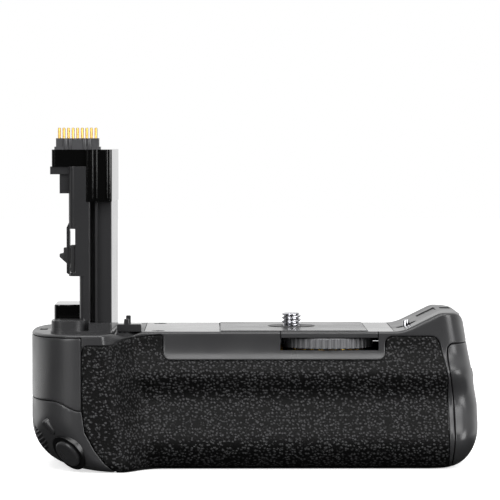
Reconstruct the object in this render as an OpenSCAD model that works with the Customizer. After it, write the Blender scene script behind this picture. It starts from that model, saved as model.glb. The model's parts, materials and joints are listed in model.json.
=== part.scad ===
// Battery grip for a single-lens reflex camera: housing, contact column, magazine and controls.
// The front faces -Y, the camera stands on the deck at the top, and z = 0 is the base.
// All sizes are in millimetres.

/* [Body] */
// overall width of the grip
body_w = 143; // [136:1:152]
// height of the deck the camera stands on
deck_h = 44; // [43.5:0.5:47]
// deck edge ahead of the middle line
deck_front = 26; // [25:0.5:28]
// rear face behind the middle line
deck_rear = 27; // [26:0.5:30]
// how far the hand-grip nose stands ahead of the deck edge
nose_reach = 17; // [14:0.5:18]
// rise of the horn above the deck
horn_rise = 6; // [4:0.5:8]
// wall of the housing
wall = 2.8; // [2.4:0.1:3.2]
// thickness of rubber skins and end panel
skin = 1.4; // [1:0.1:1.6]
// gap between neighbouring covers
seam = 0.3; // [0.2:0.05:0.4]
// thickness of the base cover
base_t = 2.6; // [2.2:0.1:3]

/* [Front sculpting] */
// swell of the ledge under the wheel panel
ledge_reach = 4.6; // [3:0.2:6]
// swell of the handle near the base
handle_reach = 9.2; // [7:0.2:11]
// width of the rounded toe at the lower left
toe_w = 22; // [18:0.5:24]
// height of the rounded toe
toe_h = 17; // [14:0.5:18]

/* [Contact column] */
// right side of the column from the left end of the body
column_set = 26.2; // [25:0.2:27]
// width of the column above its leg
column_w = 13.6; // [13:0.1:14.5]
// front-to-back depth of the column
column_d = 36; // [33:0.5:38]
// column height from the deck to its shoulder
column_h = 53; // [49:0.5:56]
// height of the head above the shoulder
head_h = 5.4; // [5:0.2:7]
// width of the head
head_w = 19.2; // [18.6:0.1:20]
// width of the leg under the slot
leg_w = 10.2; // [9.6:0.1:11]
// height of the leg
leg_h = 18; // [17:0.5:19]
// length of the slot above the leg
slot_h = 14; // [13:0.5:15]
// travel of the cover slide in the slot
slide_travel = 5; // [4:0.5:5.5]
// height of the contact block
block_h = 3.6; // [3:0.1:4.5]
// contact pins in one row
pin_count = 9; // [6:1:9]
// pitch of the contact pins
pin_pitch = 1.46; // [1.3:0.02:1.6]
// diameter of a contact pin
pin_d = 0.84; // [0.76:0.04:0.96]
// contact pin above its block
pin_out = 3.4; // [3:0.1:4]
// travel of the contact pins
pin_travel = 1; // [0.6:0.1:1.2]

/* [Lock wheel and camera screw] */
// thread diameter of the camera screw
screw_d = 6.35; // [6.35:0.01:6.4]
// camera screw above the deck
screw_out = 4.7; // [4:0.1:5.5]
// camera screw right of the middle of the body
screw_x = 12.9; // [11:0.5:15]
// wheel axis right of the camera screw
wheel_dx = 11.6; // [10.5:0.2:12]
// diameter of the lock wheel
wheel_d = 29; // [28:0.2:29.4]
// thickness of the lock wheel rim
wheel_t = 3.4; // [2.8:0.1:3.5]
// knurls round the lock wheel
wheel_knurls = 44; // [36:2:48]
// wheel rim ahead of the deck edge
wheel_proud = 1.4; // [1:0.1:2]
// module of the drive gears
gear_module = 1; // [1:0.005:1.02]
// teeth on the wheel gear
wheel_teeth = 22; // [21:1:23]
// teeth on the screw gear
screw_teeth = 16; // [15:1:17]
// thickness of the gears
gear_t = 2.8; // [2.4:0.1:2.9]
// play in the gear teeth at the pitch line
gear_play = 0.18; // [0.15:0.01:0.24]
// diameter of the wheel axle
axle_d = 4; // [3.5:0.1:4.5]
// radial clearance of turning parts
turn_clear = 0.06; // [0.05:0.005:0.08]
// diameter of the locating pin
peg_d = 2.2; // [2:0.1:2.6]
// height of the locating pin
peg_h = 2.8; // [2.5:0.1:3.2]
// locating pin from the right end of the body
peg_in = 21.3; // [20:0.1:24]
// locating pin ahead of the camera screw
peg_fore = 7.5; // [6:0.5:9]

/* [Magazine] */
// from the left end of the body to the bays
left_room = 19.2; // [17:0.2:24]
// from the bays to the right end of the body
right_room = 8.2; // [7.6:0.1:9.4]
// from the deck edge back to the bays
front_room = 5.1; // [4.8:0.1:7]
// from the bays back to the rear face
rear_room = 9.1; // [8.6:0.1:11]
// height between the sleeve and the mechanism
mech_room = 2.5; // [2.2:0.1:4]
// wall of the magazine tray
tray_wall = 1.2; // [1:0.05:1.6]
// clearance between the tray and its sleeve
tray_clear = 0.3; // [0.25:0.05:0.4]
// wall of the sleeve
sleeve_wall = 1; // [0.8:0.1:1.1]
// diameter of the release knob
knob_d = 19; // [17:0.5:20]

/* [Controls] */
// diameter of the release button
shutter_d = 9.6; // [9:0.2:10]
// travel of the release button
shutter_travel = 1; // [0.6:0.1:1.2]
// diameter of the control dial
dial_d = 14; // [13:0.5:14.5]
// width of the control dial
dial_w = 5; // [4:0.2:5.2]
// diameter of the rear buttons
button_d = 6.4; // [6:0.1:7]
// travel of the rear buttons
button_travel = 0.8; // [0.5:0.1:1]
// radial play of the buttons
button_play = 0.15; // [0.1:0.01:0.2]

/* [Hidden] */
$fn = 48;
tiny = 0.01;
half_w = body_w / 2;
horn_top = deck_h + horn_rise;

function clamp01(t) = max(0, min(1, t));
function smooth(t) = let (c = clamp01(t)) c * c * (3 - 2 * c);
function hump(d) = exp(-d * d);
function lerp(a, b, t) = a + (b - a) * t;

// superellipse quarter: 0 at t = 0, 1 at t = 1
function quarter(t, n) = pow(1 - pow(1 - clamp01(t), n), 1 / n);

// corner points of a path with one radius for each corner, as [x, y, r]
function unit(v) = v / norm(v);
function corner(p, v, q, r, steps) =
    let (a = unit(p - v), b = unit(q - v), half = acos(a * b) / 2)
    let (cut = r / tan(half), mid = v + unit(a + b) * r / sin(half))
    let (s = v + a * cut - mid, e = v + b * cut - mid, turn = 180 - 2 * half)
    let (way = sign(s[0] * e[1] - s[1] * e[0]))
    [for (i = [0:steps]) let (w = way * turn * i / steps)
        mid + [s[0] * cos(w) - s[1] * sin(w), s[0] * sin(w) + s[1] * cos(w)]];
function rounded(path, steps = 4) = [
    for (i = [0:len(path) - 1])
        let (v = path[i], p = path[(i + len(path) - 1) % len(path)], q = path[(i + 1) % len(path)])
        for (c = v[2] == 0 ? [[v[0], v[1]]]
            : corner([p[0], p[1]], [v[0], v[1]], [q[0], q[1]], v[2], steps)) c];

// sculpted form of the whole body

// facing of the sloped control land at the lower left, and a point on it
land_n = unit([-0.61, -0.57, -0.55]);
land_in = 12.9;
land_set = 4.8;
land_up = 6.3;
land_p = [land_in - half_w, land_set - deck_front - nose_reach, land_up];
land_round = 3;
land_back = unit([0, 1, 0] - land_n * land_n[1]);
land_side = cross(land_n, land_back);

end_round = 17;
heel_round = 9;
base_round = 4;
heel_w = 9.3;
heel_h = 14;
lean_h = 20;
lean = 0.17;
heel_out = 1.6;
ledge_z = deck_h - 13;
handle_z = 9.5;
thumb_x = 51.5 - half_w;
thumb_reach = 3.5;

function left_edge(z) = toe_w * (1 - quarter(z / toe_h, 2.4)) - half_w;
function right_edge(z) = half_w + heel_out
    - heel_w * (1 - quarter(z / heel_h, 2)) - lean * max(0, z - lean_h);
function valley(z) = 34 - half_w + 0.14 * (deck_h - z);
function nose_at(x, z) = smooth((valley(z) - x) / 11);
function swell(z) = ledge_reach * hump((z - ledge_z) / 6) + handle_reach * hump((z - handle_z) / 9.5);
function front_at(x, z) = -deck_front - lerp(swell(z), nose_reach, nose_at(x, z));
function rear_at(x, z) = deck_rear
    + thumb_reach * hump((x - thumb_x) / 9) * smooth((z - 1) / 12) * smooth((deck_h - 2 - z) / 12);
function tuck(z) = base_round * (1 - quarter(z / base_round, 2));

left_steps = 5;
valley_steps = 6;
mid_steps = 5;
right_steps = 3;
valley_w = 25;
ring_half = left_steps + valley_steps + mid_steps + right_steps;

function station(i, lo, hi) =
    let (j = i - left_steps, k = j - valley_steps, m = k - mid_steps)
    j <= 0 ? lo + end_round * (1 - cos(90 * i / left_steps))
    : m >= 0 ? hi - heel_round * (1 - cos(90 * (right_steps - m) / right_steps))
    : k <= 0 ? lo + end_round + valley_w * j / valley_steps
    : lerp(lo + end_round + valley_w, hi - heel_round, k / mid_steps);
function end_fill(x, lo, hi) =
    quarter((x - lo) / end_round, 2.5) * quarter((hi - x) / heel_round, 3);

// keeps a point behind the control land, with a rounded brow
function behind_land(p, inset) =
    let (d = land_n * (p - land_p) + inset)
    d < -land_round ? p
    : p - land_n * (d > land_round ? d : d + pow(land_round - d, 2) / (4 * land_round));

// one ring: front from left to right, then the rear back to the left
function ring(z, inset) =
    let (lo = left_edge(z) + inset, hi = right_edge(z) - inset)
    let (xs = [for (i = [0:ring_half]) station(i, lo, hi)])
    let (pull = tuck(z) + inset)
    let (fs = [for (x = xs) front_at(x, z) + pull], rs = [for (x = xs) rear_at(x, z) - pull])
    let (es = [for (x = xs) end_fill(x, lo, hi)])
    let (front = [for (i = [0:ring_half]) lerp((fs[i] + rs[i]) / 2, fs[i], es[i])])
    let (back = [for (i = [0:ring_half]) lerp((fs[i] + rs[i]) / 2, rs[i], es[i])])
    concat(
        [for (i = [0:ring_half]) behind_land([xs[i], front[i], z], inset)],
        [for (i = [ring_half - 1:-1:1]) behind_land([xs[i], back[i], z], inset)]);

low_layers = [0, 1.2, 3.5, 7, 11];
last_layer = deck_h - 5;
layers = concat(low_layers, [for (i = [1:6]) lerp(low_layers[4], last_layer, i / 6)]);
inner_layers = [for (i = [0:2:len(layers) - 1]) layers[i]];
function heights(inset) = inset == 0
    ? concat(layers, [deck_h + 1, horn_top + 0.5])
    : concat([-1], inset < wall ? layers : inner_layers, [deck_h + 1, horn_top + 2]);
function loft_faces(n, count) =
    let (m = n / 2)
    concat(
        [for (i = [0:m - 1]) let (a = i, b = i + 1, c = (n - i - 1) % n, d = (n - i) % n)
            each [[a, b, c], [a, c, d]]],
        [for (k = [0:count - 2]) for (j = [0:n - 1])
            let (a = k * n + j, b = k * n + (j + 1) % n)
            each [[a, a + n, b + n], [a, b + n, b]]],
        [for (i = [0:m - 1])
            let (t = (count - 1) * n, a = t + i, b = t + i + 1)
            let (c = t + (n - i - 1) % n, d = t + (n - i) % n)
            each [[c, b, a], [d, c, a]]]);

module form(inset = 0) {
    zs = heights(inset);
    rings = [for (z = zs) ring(z, inset)];
    polyhedron(
        points = [for (r = rings) each r],
        faces = loft_faces(2 * ring_half, len(zs)),
        convexity = 6);
}

// levels of the mechanism and the magazine

deck_t = 1.9;
plate_t = 0.8;
gap_z = 0.3;
rim_t = 4;
slip = 0.02;
mech_top = deck_h - deck_t;
wheel_z1 = mech_top - gap_z;
wheel_z0 = wheel_z1 - wheel_t;
gear_z0 = wheel_z0 - gear_t;
frame_t = 1.2;
frame_z1 = gear_z0 - gap_z;
frame_z0 = frame_z1 - frame_t;

gear_gap = gear_module * (wheel_teeth + screw_teeth) / 2;
function gear_tip(teeth) = gear_module * (teeth / 2 + 0.9);
wheel_x = screw_x + wheel_dx;
wheel_y = wheel_d / 2 - deck_front - wheel_proud;
screw_y = wheel_y + sqrt(gear_gap * gear_gap - wheel_dx * wheel_dx);
mesh_turn = atan2(screw_y - wheel_y, screw_x - wheel_x);
shaft_d = 5;
flange_d = 7.6;
neck_d = 5.8;
post_d = 5;
posts = [[screw_x - 15, screw_y - 12], [wheel_x + 8, screw_y + 7]];

socket_h = 6.2;
socket_d = 10;
socket_flange_d = 13;
socket_flange_t = 1.2;
socket_room = 0.2;
sleeve_z0 = socket_h + socket_room;
tray_z0 = sleeve_z0 + sleeve_wall + tray_clear;
bay_z0 = tray_z0 + tray_wall;
sleeve_z1 = frame_z0 - mech_room;
tray_z1 = sleeve_z1 - sleeve_wall - tray_clear;
// the bays give way to the control land when the nose is shorter
nose_full = 17;
land_give = (nose_full - nose_reach) * land_n[1] / land_n[0];
bay_x0 = left_room + land_give - half_w;
bay_l = (half_w - right_room - bay_x0 - tray_wall) / 2;
bay_w = deck_front + deck_rear - front_room - rear_room;
tray_y = front_room - deck_front + bay_w / 2;
tray_half = bay_w / 2 + tray_wall;
tray_x0 = bay_x0 - tray_wall;
tray_x1 = half_w - right_room + tray_wall;
terminal_t = 1.6;
sleeve_x0 = tray_x0 - tray_clear - terminal_t - sleeve_wall;
sleeve_half = tray_half + tray_clear + sleeve_wall;
end_wall_x = half_w - 12;
sleeve_x1 = end_wall_x + 2;

cap_top = deck_h - 4;
cap_seam = 9.1;
cap_bulge = 2;
cap_hook = 0.6;
cap_split = half_w - 4.9;
lock_y = tray_y + 2;
lock_up = 2;
lock_z = (tray_z0 + tray_z1) / 2 + lock_up;
lock_l = cap_top - lock_z + 1.8;
lock_w = 5;
lock_t = 1.8;
lock_room = 0.3;
knob_floor = half_w + heel_out - 2.4;
knob_t = 1.4;
knob_shaft = 4;

column_x1 = column_set - half_w;
column_x0 = column_x1 - column_w;
leg_x0 = column_x1 - leg_w;
column_y0 = -deck_front - 4;
column_y1 = column_y0 + column_d;
shoulder_z = deck_h + column_h;
head_z1 = shoulder_z + head_h;
head_x0 = column_x1 + 0.2 - head_w;
block_z1 = head_z1 + block_h;
leg_z = deck_h + leg_h;
skirt_z = shoulder_z - 11.2;
skirt_x = column_x1 - 8;
slot_x0 = column_x0 + 0.4;
slot_w = 1.7;
slot_z0 = leg_z + 1.1;
nub_z0 = slot_z0 + 3;
nub_z1 = slot_z0 + 8;
nub_y = column_y0 + 2.6;
nub_d = 3;
slide_clear = 0.12;
cable_w = 5;
cable_t = 0.3;
cable_x = leg_x0 + 3.8;
cable_y = column_y0 + 6.6;
column_flare = 1.2;

// a shape drawn in the front view, pushed through from y0 back to y1
module front_view(y0, y1) {
    translate([0, y1, 0]) rotate([90, 0, 0]) linear_extrude(y1 - y0) children();
}

module block(from, to) {
    translate(from) cube(to - from);
}

// places children with z along the facing of the control land and y along its back
module on_land(back, side, up) {
    at = land_p + back * land_back + side * land_side + up * land_n;
    multmatrix([
        [-land_side[0], land_back[0], land_n[0], at[0]],
        [-land_side[1], land_back[1], land_n[1], at[1]],
        [-land_side[2], land_back[2], land_n[2], at[2]],
        [0, 0, 0, 1]]) children();
}

// outlines of the covers in the front view

seam_low = deck_h - 24.3;
seam_step = 3.1;
grip_left = 17.1 - half_w;
grip_right = half_w - 9.1;
grip_z0 = base_t + seam;
panel_x0 = 42.7 - half_w;
panel_x1 = screw_x + wheel_dx + 17.8;
panel_z0 = deck_h - 8.8;
function wave(x) = seam_low + seam_step * smooth((grip_left - 0.4 - x) / 9);
wave_x = [for (i = [0:8]) lerp(-half_w - 3, grip_left, i / 8)];
slant = [[grip_left + 1, 13], [grip_left + 4, 7.5], [grip_left + 7.5, grip_z0], [grip_left + 11, 0]];

module grip_outline() {
    polygon(rounded([
        [grip_left, deck_h - 3.4, 2], [grip_left + 9.4, deck_h - 3.4, 2],
        [grip_left + 13, deck_h - 2, 1], [panel_x0, deck_h - 0.7, 1],
        [panel_x0, panel_z0, 2.4], [panel_x1, panel_z0, 2.4],
        [panel_x1, deck_h - 1.4, 2.4], [grip_right - 3, deck_h - 1.4, 3],
        [grip_right, deck_h - 14, 6], [grip_right + 0.3, grip_z0, 0.6],
        [slant[2][0], slant[2][1], 0], [slant[1][0], slant[1][1], 0],
        [slant[0][0], slant[0][1], 0], [grip_left, seam_low, 0]]));
}

module end_outline() {
    polygon(concat(
        [for (x = wave_x) [x, wave(x)]],
        [[grip_left, deck_h - 0.9], [-half_w - 3, deck_h - 0.9]]));
}

module pod_outline() {
    polygon(concat([for (x = wave_x) [x, wave(x)]], slant,
        [[slant[3][0], -2], [-half_w - 3, -2]]));
}

function cap_edge(z) = half_w - cap_seam
    + cap_bulge * smooth((cap_top - 2 - z) / 18) - cap_hook * smooth((11 - z) / 12);
module cap_outline() {
    side = [for (i = [0:8]) let (z = lerp(-2, cap_top - 4, i / 8)) [cap_edge(z), z, 0]];
    polygon(rounded(concat(side,
        [[cap_edge(cap_top), cap_top, 2], [half_w + 9, cap_top, 0], [half_w + 9, -2, 0]])));
}

module rear_outline() {
    polygon(rounded([
        [7 - half_w, base_t + 2, 5], [end_wall_x - 3, base_t + 2, 5],
        [end_wall_x - 3, deck_h - 6, 5], [7 - half_w, deck_h - 6, 5]]));
}

module thumb_outline() {
    polygon(rounded([
        [thumb_x - 8, base_t + 5, 4], [thumb_x + 18, base_t + 5, 5],
        [thumb_x + 26, deck_h - 9, 5], [thumb_x - 8, deck_h - 9, 4]]));
}

horn_w = 12.5;
horn_foot = 1.7;
horn_x0 = half_w - peg_in - horn_foot;
horn_x1 = horn_x0 + horn_w;
horn_slope = horn_rise / (horn_x1 - horn_x0);
module sky() {
    polygon(rounded([
        [-half_w - 9, deck_h, 0], [horn_x0, deck_h, 14], [horn_x1, horn_top, 5],
        [half_w - 4, horn_top, 3.4], [half_w - 2, cap_top, 0], [half_w + 9, cap_top, 0],
        [half_w + 9, horn_top + 9, 0], [-half_w - 9, horn_top + 9, 0]]));
}

// dip of the front rim over the finger notch
module saddle() {
    polygon(concat(
        [for (i = [0:8]) [lerp(25, 36, i / 8) - half_w, deck_h - 1.4 * pow(sin(22.5 * i), 2)]],
        [[36 - half_w, deck_h + 9], [25 - half_w, deck_h + 9]]));
}

pod_rear = 6;
front_far = -deck_front - 30;
module skin_zone() {
    difference() {
        union() {
            front_view(front_far, -14) grip_outline();
            front_view(front_far, 10) end_outline();
        }
        form(skin);
    }
}

// housing and covers

plate_edge = 3;
plate_x0 = 36.5 - half_w;
plate_x1 = horn_x0 - plate_edge;
plate_y0 = 2 - deck_front;
plate_y1 = deck_rear - 2;
pad_x0 = plate_x0 + 24.4;
pad_x1 = plate_x1 - 8.6;
pad_proud = 0.3;
bridge_x0 = wheel_x - 15.8;
bridge_x1 = wheel_x + 15.8;
bridge_y = plate_y0 + 3;
window_z0 = wheel_z0 - 0.4;
collar_r = 7.6;
thread_z0 = deck_h + pad_proud + 0.3;
peg = [half_w - peg_in, screw_y - peg_fore];
peg_root = 2.5;
peg_root_d = 1.8;
peg_seat_d = 6.6;
button_x = 24.5 - half_w;
button_high = deck_h - 11;
button_low = 13;
button_z = [button_high, (button_high + button_low) / 2, button_low];
button_flange = button_d + 1.2;
switch_at = [35.5 - half_w, button_low - 0.5];
switch_shaft = 4;
switch_d = 10;
liner_x0 = horn_x0 + 6;
liner_x1 = horn_x1 - 0.5;
liner_y0 = 1;
liner_y1 = 15;
liner_deep = 1.6;

function slope_z(x) = deck_h + horn_slope * (x - horn_x0);

module hollow() {
    intersection() {
        form(wall);
        union() {
            block([-half_w, -60, -2], [end_wall_x, 60, deck_h - rim_t]);
            block([posts[0][0] - post_d, -60, bay_z0], [bridge_x1 + 2, deck_rear - rim_t, mech_top]);
        }
    }
}

module deck_plan(x0, x1, r0, r1) {
    polygon(rounded([
        [x0, plate_y0, r0], [x1, plate_y0, r1], [x1, plate_y1, r1], [x0, plate_y1, r0]]));
}

module liner_cut(trim, low, high) {
    front_view(liner_y0 + trim, liner_y1 - trim) polygon([
        [liner_x0 + trim, slope_z(liner_x0 + trim) - low],
        [liner_x1 - trim, slope_z(liner_x1 - trim) - low],
        [liner_x1 - trim, slope_z(liner_x1 - trim) + high],
        [liner_x0 + trim, slope_z(liner_x0 + trim) + high]]);
}

module main_housing() {
    color("#2b2b2d") difference() {
        form();
        front_view(-90, 90) sky();
        front_view(-90, -deck_front - 1.5) saddle();
        hollow();
        skin_zone();
        front_view(-90, pod_rear + seam) offset(delta = seam) pod_outline();
        front_view(-90, 90) offset(delta = seam) cap_outline();
        front_view(10, 90) rear_outline();
        block([-90, -90, -2], [90, 90, base_t]);
        block([sleeve_x0, tray_y - sleeve_half - slip, sleeve_z0 - slip],
            [half_w, tray_y + sleeve_half + slip, sleeve_z1 + slip]);
        block([cap_split - 0.3, lock_y - lock_w / 2 - 0.8, cap_top - 1],
            [cap_split + lock_t + 0.9, lock_y + 9.5, lock_z + lock_l + 0.8]);
        block([bridge_x0, -90, window_z0], [bridge_x1, bridge_y, deck_h + 1]);
        translate([wheel_x, wheel_y, window_z0]) cylinder(d = wheel_d + 1, h = mech_top - window_z0);
        translate([wheel_x, wheel_y, frame_z1]) cylinder(r = gear_tip(wheel_teeth) + gap_z, h = gear_t + 1);
        translate([0, 0, deck_h - plate_t]) linear_extrude(9) deck_plan(plate_x0, plate_x1, 2, 2);
        translate([screw_x, screw_y, mech_top - 1]) cylinder(d = flange_d + 0.8, h = 9);
        translate([peg[0], peg[1], deck_h - peg_root]) cylinder(d = peg_root_d + 2 * slip, h = 9);
        translate([peg[0], peg[1], deck_h]) cylinder(d = peg_seat_d, h = 9);
        block([leg_x0 + 1, column_y0 + 4, deck_h - 9], [column_x1 - 1, column_y1 - 4, deck_h + 9]);
        liner_cut(0, liner_deep, 9);
        block([horn_x1 + 0.8, liner_y0 + 1, horn_top - 2.2], [horn_x1 + 4.2, liner_y0 + 9, horn_top + 9]);
        block([2.5 - half_w, -14, deck_h - 1.2], [5 - half_w, -8, deck_h + 9]);
    }
}

module front_grip() {
    color("#1e1e1f") difference() {
        intersection() {
            form();
            front_view(front_far, -14 - seam) offset(delta = -seam / 2) grip_outline();
        }
        form(skin - slip);
    }
}

module left_end_panel() {
    color("#2f2f31") difference() {
        intersection() {
            form();
            front_view(front_far, 10 - seam) offset(delta = -seam / 2) end_outline();
        }
        form(skin - slip);
    }
}

bezel_d = 13;
bezel_t = 3;
shutter_flange = shutter_d + 1.6;
shutter_deep = 8;
shutter_foot = 1.2;
bar_back = -0.3;
bar_side = -10.2;
bar_l = 5.5;
bar_w = 2.4;
bar_travel = 0.6;
bar_deep = 3.4;
dial_back = 6.6 + dial_w / 2;
dial_side = -7.3;
dial_up = -0.2 - dial_d / 2;
dial_room = 0.5;
dial_axle_d = 2;
axle_grip = 3;

module stadium(l, w) {
    polygon(rounded([
        [-l / 2, -w / 2, w / 2 - tiny], [l / 2, -w / 2, w / 2 - tiny],
        [l / 2, w / 2, w / 2 - tiny], [-l / 2, w / 2, w / 2 - tiny]], 6));
}

module control_pod() {
    color("#2d2d2f") difference() {
        intersection() {
            form();
            front_view(-90, pod_rear) pod_outline();
        }
        block([sleeve_x0 - 0.2, tray_y - sleeve_half - 0.2, sleeve_z0 - 0.2], [half_w, 60, 60]);
        on_land(0, 0, -bezel_t) cylinder(d = bezel_d + 2 * slip, h = 30);
        on_land(0, 0, -shutter_deep) cylinder(d = shutter_flange + 0.6, h = 20);
        on_land(bar_back, bar_side, -bar_deep) linear_extrude(20)
            stadium(bar_l + 2 * button_play, bar_w + 2 * button_play);
        on_land(dial_back, dial_side, dial_up) rotate([90, 0, 0])
            cylinder(d = dial_d + 2 * dial_room, h = dial_w + 0.6, center = true);
        on_land(dial_back, dial_side, dial_up) rotate([90, 0, 0])
            cylinder(d = dial_axle_d, h = dial_w + 2 * axle_grip, center = true);
    }
}

module base_cover() {
    color("#262628") difference() {
        union() {
            intersection() {
                form();
                block([-90, -90, -1], [90, 90, base_t]);
            }
            for (x = [35.5 - half_w, half_w - 27.5])
                block([x, tray_y - rib_half, base_t - 1], [x + rib_t, tray_y + rib_half, sleeve_z0]);
        }
        front_view(-90, pod_rear + seam) offset(delta = seam) pod_outline();
        front_view(-90, 90) offset(delta = seam) cap_outline();
        translate([screw_x, screw_y, -1]) cylinder(d = socket_d + 2 * slip, h = 20);
        translate([screw_x, screw_y, -1]) cylinder(d = socket_flange_d + 2 * slip, h = 1 + socket_flange_t);
        for (p = base_screw_at) translate([p[0], p[1], -1]) cylinder(d = screw_head + 0.3, h = 2.4);
        for (p = base_screw_at) translate([p[0], p[1], -1]) cylinder(d = screw_shank + 2 * slip, h = 9);
    }
}

screw_head = 4;
screw_shank = 2;
base_screw_at = [for (x = [37.5 - half_w, half_w - 16.5]) for (y = [8 - deck_front, deck_rear - 9]) [x, y]];
rib_t = 3;
rib_half = tray_half - 3.6;

module base_screws() {
    color("#3a3a3c") for (p = base_screw_at) translate([p[0], p[1], 0]) {
        difference() {
            translate([0, 0, 0.2]) cylinder(d = screw_head, h = 1.2);
            for (a = [0, 90]) rotate(a) block([-1.2, -0.25, -1], [1.2, 0.25, 0.7]);
        }
        translate([0, 0, 1.3]) cylinder(d = screw_shank, h = base_t - 1.3);
    }
}

module tripod_socket() {
    color("#a9a9ac") translate([screw_x, screw_y, 0]) difference() {
        union() {
            cylinder(d = socket_flange_d, h = socket_flange_t);
            cylinder(d = socket_d, h = socket_h);
        }
        translate([0, 0, -1]) cylinder(d = screw_d, h = 20);
    }
}

module rear_cover() {
    color("#2b2b2d") difference() {
        intersection() {
            form();
            front_view(10, 90) offset(delta = -seam) rear_outline();
        }
        form(wall);
        for (z = button_z) translate([button_x, 0, z]) rotate([-90, 0, 0])
            cylinder(d = button_d + 2 * button_play, h = 90);
        translate([switch_at[0], 0, switch_at[1]]) rotate([-90, 0, 0])
            cylinder(d = switch_shaft + 2 * turn_clear, h = 90);
        translate([switch_at[0], deck_rear, switch_at[1]]) rotate([-90, 0, 0])
            cylinder(d = switch_d + 0.8, h = 9);
    }
}

module thumb_grip() {
    color("#1e1e1f") difference() {
        intersection() {
            form(-1);
            front_view(10, 90) thumb_outline();
        }
        form();
    }
}

// deck

deck_screw_at = [for (x = [plate_x0 + 4.5]) for (y = [plate_y0 + 4, plate_y1 - 4]) [x, y]];

module deck_plate_left() {
    color("#333335") translate([0, 0, deck_h - plate_t]) difference() {
        linear_extrude(plate_t) deck_plan(plate_x0 + seam / 2, pad_x0 - seam / 2, 1.8, 0.2);
        for (p = deck_screw_at) translate([p[0], p[1], -1]) cylinder(d = screw_head + 0.3, h = 9);
    }
}

module deck_screws() {
    color("#77777a") for (p = deck_screw_at) translate([p[0], p[1], deck_h - plate_t]) difference() {
        cylinder(d = screw_head, h = 0.6);
        for (a = [0, 90]) rotate(a) block([-1.2, -0.25, 0.25], [1.2, 0.25, 2]);
    }
}

module deck_pad() {
    color("#29292a") translate([0, 0, deck_h - plate_t]) difference() {
        linear_extrude(plate_t + pad_proud) deck_plan(pad_x0 + seam / 2, pad_x1 - seam / 2, 0.2, 0.2);
        translate([screw_x, screw_y, -1]) cylinder(r = collar_r + 0.1, h = 9);
    }
}

module deck_plate_right() {
    color("#333335") translate([0, 0, deck_h - plate_t]) linear_extrude(plate_t)
        deck_plan(pad_x1 + seam / 2, plate_x1 - seam / 2, 0.2, 1.8);
}

module screw_collar() {
    color("#303032") translate([screw_x, screw_y, deck_h - plate_t]) difference() {
        cylinder(r = collar_r, h = plate_t + pad_proud + 0.2);
        translate([0, 0, -1]) cylinder(d = screw_d + 0.6, h = 9);
    }
}

module locating_pin() {
    color("#c9c9cc") translate([peg[0], peg[1], deck_h]) {
        translate([0, 0, -peg_root]) cylinder(d = peg_root_d, h = peg_root + 0.1);
        cylinder(d = peg_d, h = peg_h - 0.5);
        translate([0, 0, peg_h - 0.5]) cylinder(d1 = peg_d, d2 = peg_d - 1, h = 0.5);
    }
}

module wheel_bridge() {
    bridge_front = front_at(wheel_x, mech_top);
    color("#2b2b2d") {
        block([bridge_x0 + seam, bridge_front, mech_top], [bridge_x1 - seam, plate_y0, deck_h]);
        block([bridge_x0 + seam, plate_y0 - 1, mech_top],
            [bridge_x1 - seam, bridge_y - slip, deck_h - plate_t]);
    }
}

// wheel, gears and camera screw

// involute tooth flank: half the tooth's angle at radius r
function involute(r, base) = let (a = acos(min(1, base / r))) tan(a) * 180 / PI - a;
function flank(r, pitch, base, half) = half + involute(pitch, base) - involute(max(r, base), base);
function gear_points(teeth) =
    let (pitch = gear_module * teeth / 2, base = pitch * cos(20))
    let (half = 90 / teeth - gear_play / pitch * 90 / PI)
    let (tip = gear_tip(teeth), root = pitch - 1.15 * gear_module)
    let (rs = [root, base, pitch - 0.2 * gear_module, pitch + 0.35 * gear_module, tip])
    [for (i = [0:teeth - 1]) each concat(
        [for (r = rs) let (w = 360 * i / teeth - flank(r, pitch, base, half)) r * [cos(w), sin(w)]],
        [for (k = [4:-1:0]) let (r = rs[k], w = 360 * i / teeth + flank(r, pitch, base, half))
            r * [cos(w), sin(w)]])];

// plan of a knurled rim with rounded ridges
function knurl_points(d, count, deep) = [
    for (i = [0:count * 6 - 1])
        let (r = d / 2 - deep * pow(sin(30 * i), 2), w = 60 * i / count) r * [cos(w), sin(w)]];

module lock_wheel() {
    color("#232324") translate([wheel_x, wheel_y, wheel_z0]) difference() {
        linear_extrude(wheel_t) polygon(knurl_points(wheel_d, wheel_knurls, 0.7));
        translate([0, 0, -1]) cylinder(d = axle_d + 2 * turn_clear, h = 20);
    }
}

module wheel_gear() {
    color("#8a8578") translate([wheel_x, wheel_y, gear_z0]) difference() {
        rotate(mesh_turn) linear_extrude(gear_t) polygon(gear_points(wheel_teeth));
        translate([0, 0, -1]) cylinder(d = axle_d + 2 * turn_clear, h = 20);
    }
}

module wheel_axle() {
    color("#b4b4b8") translate([wheel_x, wheel_y, frame_z0]) cylinder(d = axle_d, h = mech_top - frame_z0);
}

module camera_screw() {
    color("#c9c9cc") translate([screw_x, screw_y, 0]) {
        translate([0, 0, frame_z0]) cylinder(d = shaft_d, h = wheel_z0 - frame_z0);
        translate([0, 0, wheel_z0]) cylinder(d = flange_d, h = mech_top + 0.6 - wheel_z0);
        translate([0, 0, mech_top + 0.5]) cylinder(d = neck_d, h = thread_z0 - mech_top - 0.5);
        translate([0, 0, thread_z0]) cylinder(d = screw_d, h = deck_h + screw_out - 0.5 - thread_z0);
        translate([0, 0, deck_h + screw_out - 0.5]) cylinder(d1 = screw_d, d2 = screw_d - 1, h = 0.5);
    }
}

module screw_gear() {
    color("#8a8578") translate([screw_x, screw_y, gear_z0]) difference() {
        rotate(mesh_turn + 180 + 180 / screw_teeth) linear_extrude(gear_t) polygon(gear_points(screw_teeth));
        translate([0, 0, -1]) cylinder(d = shaft_d + 2 * slip, h = 20);
    }
}

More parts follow.
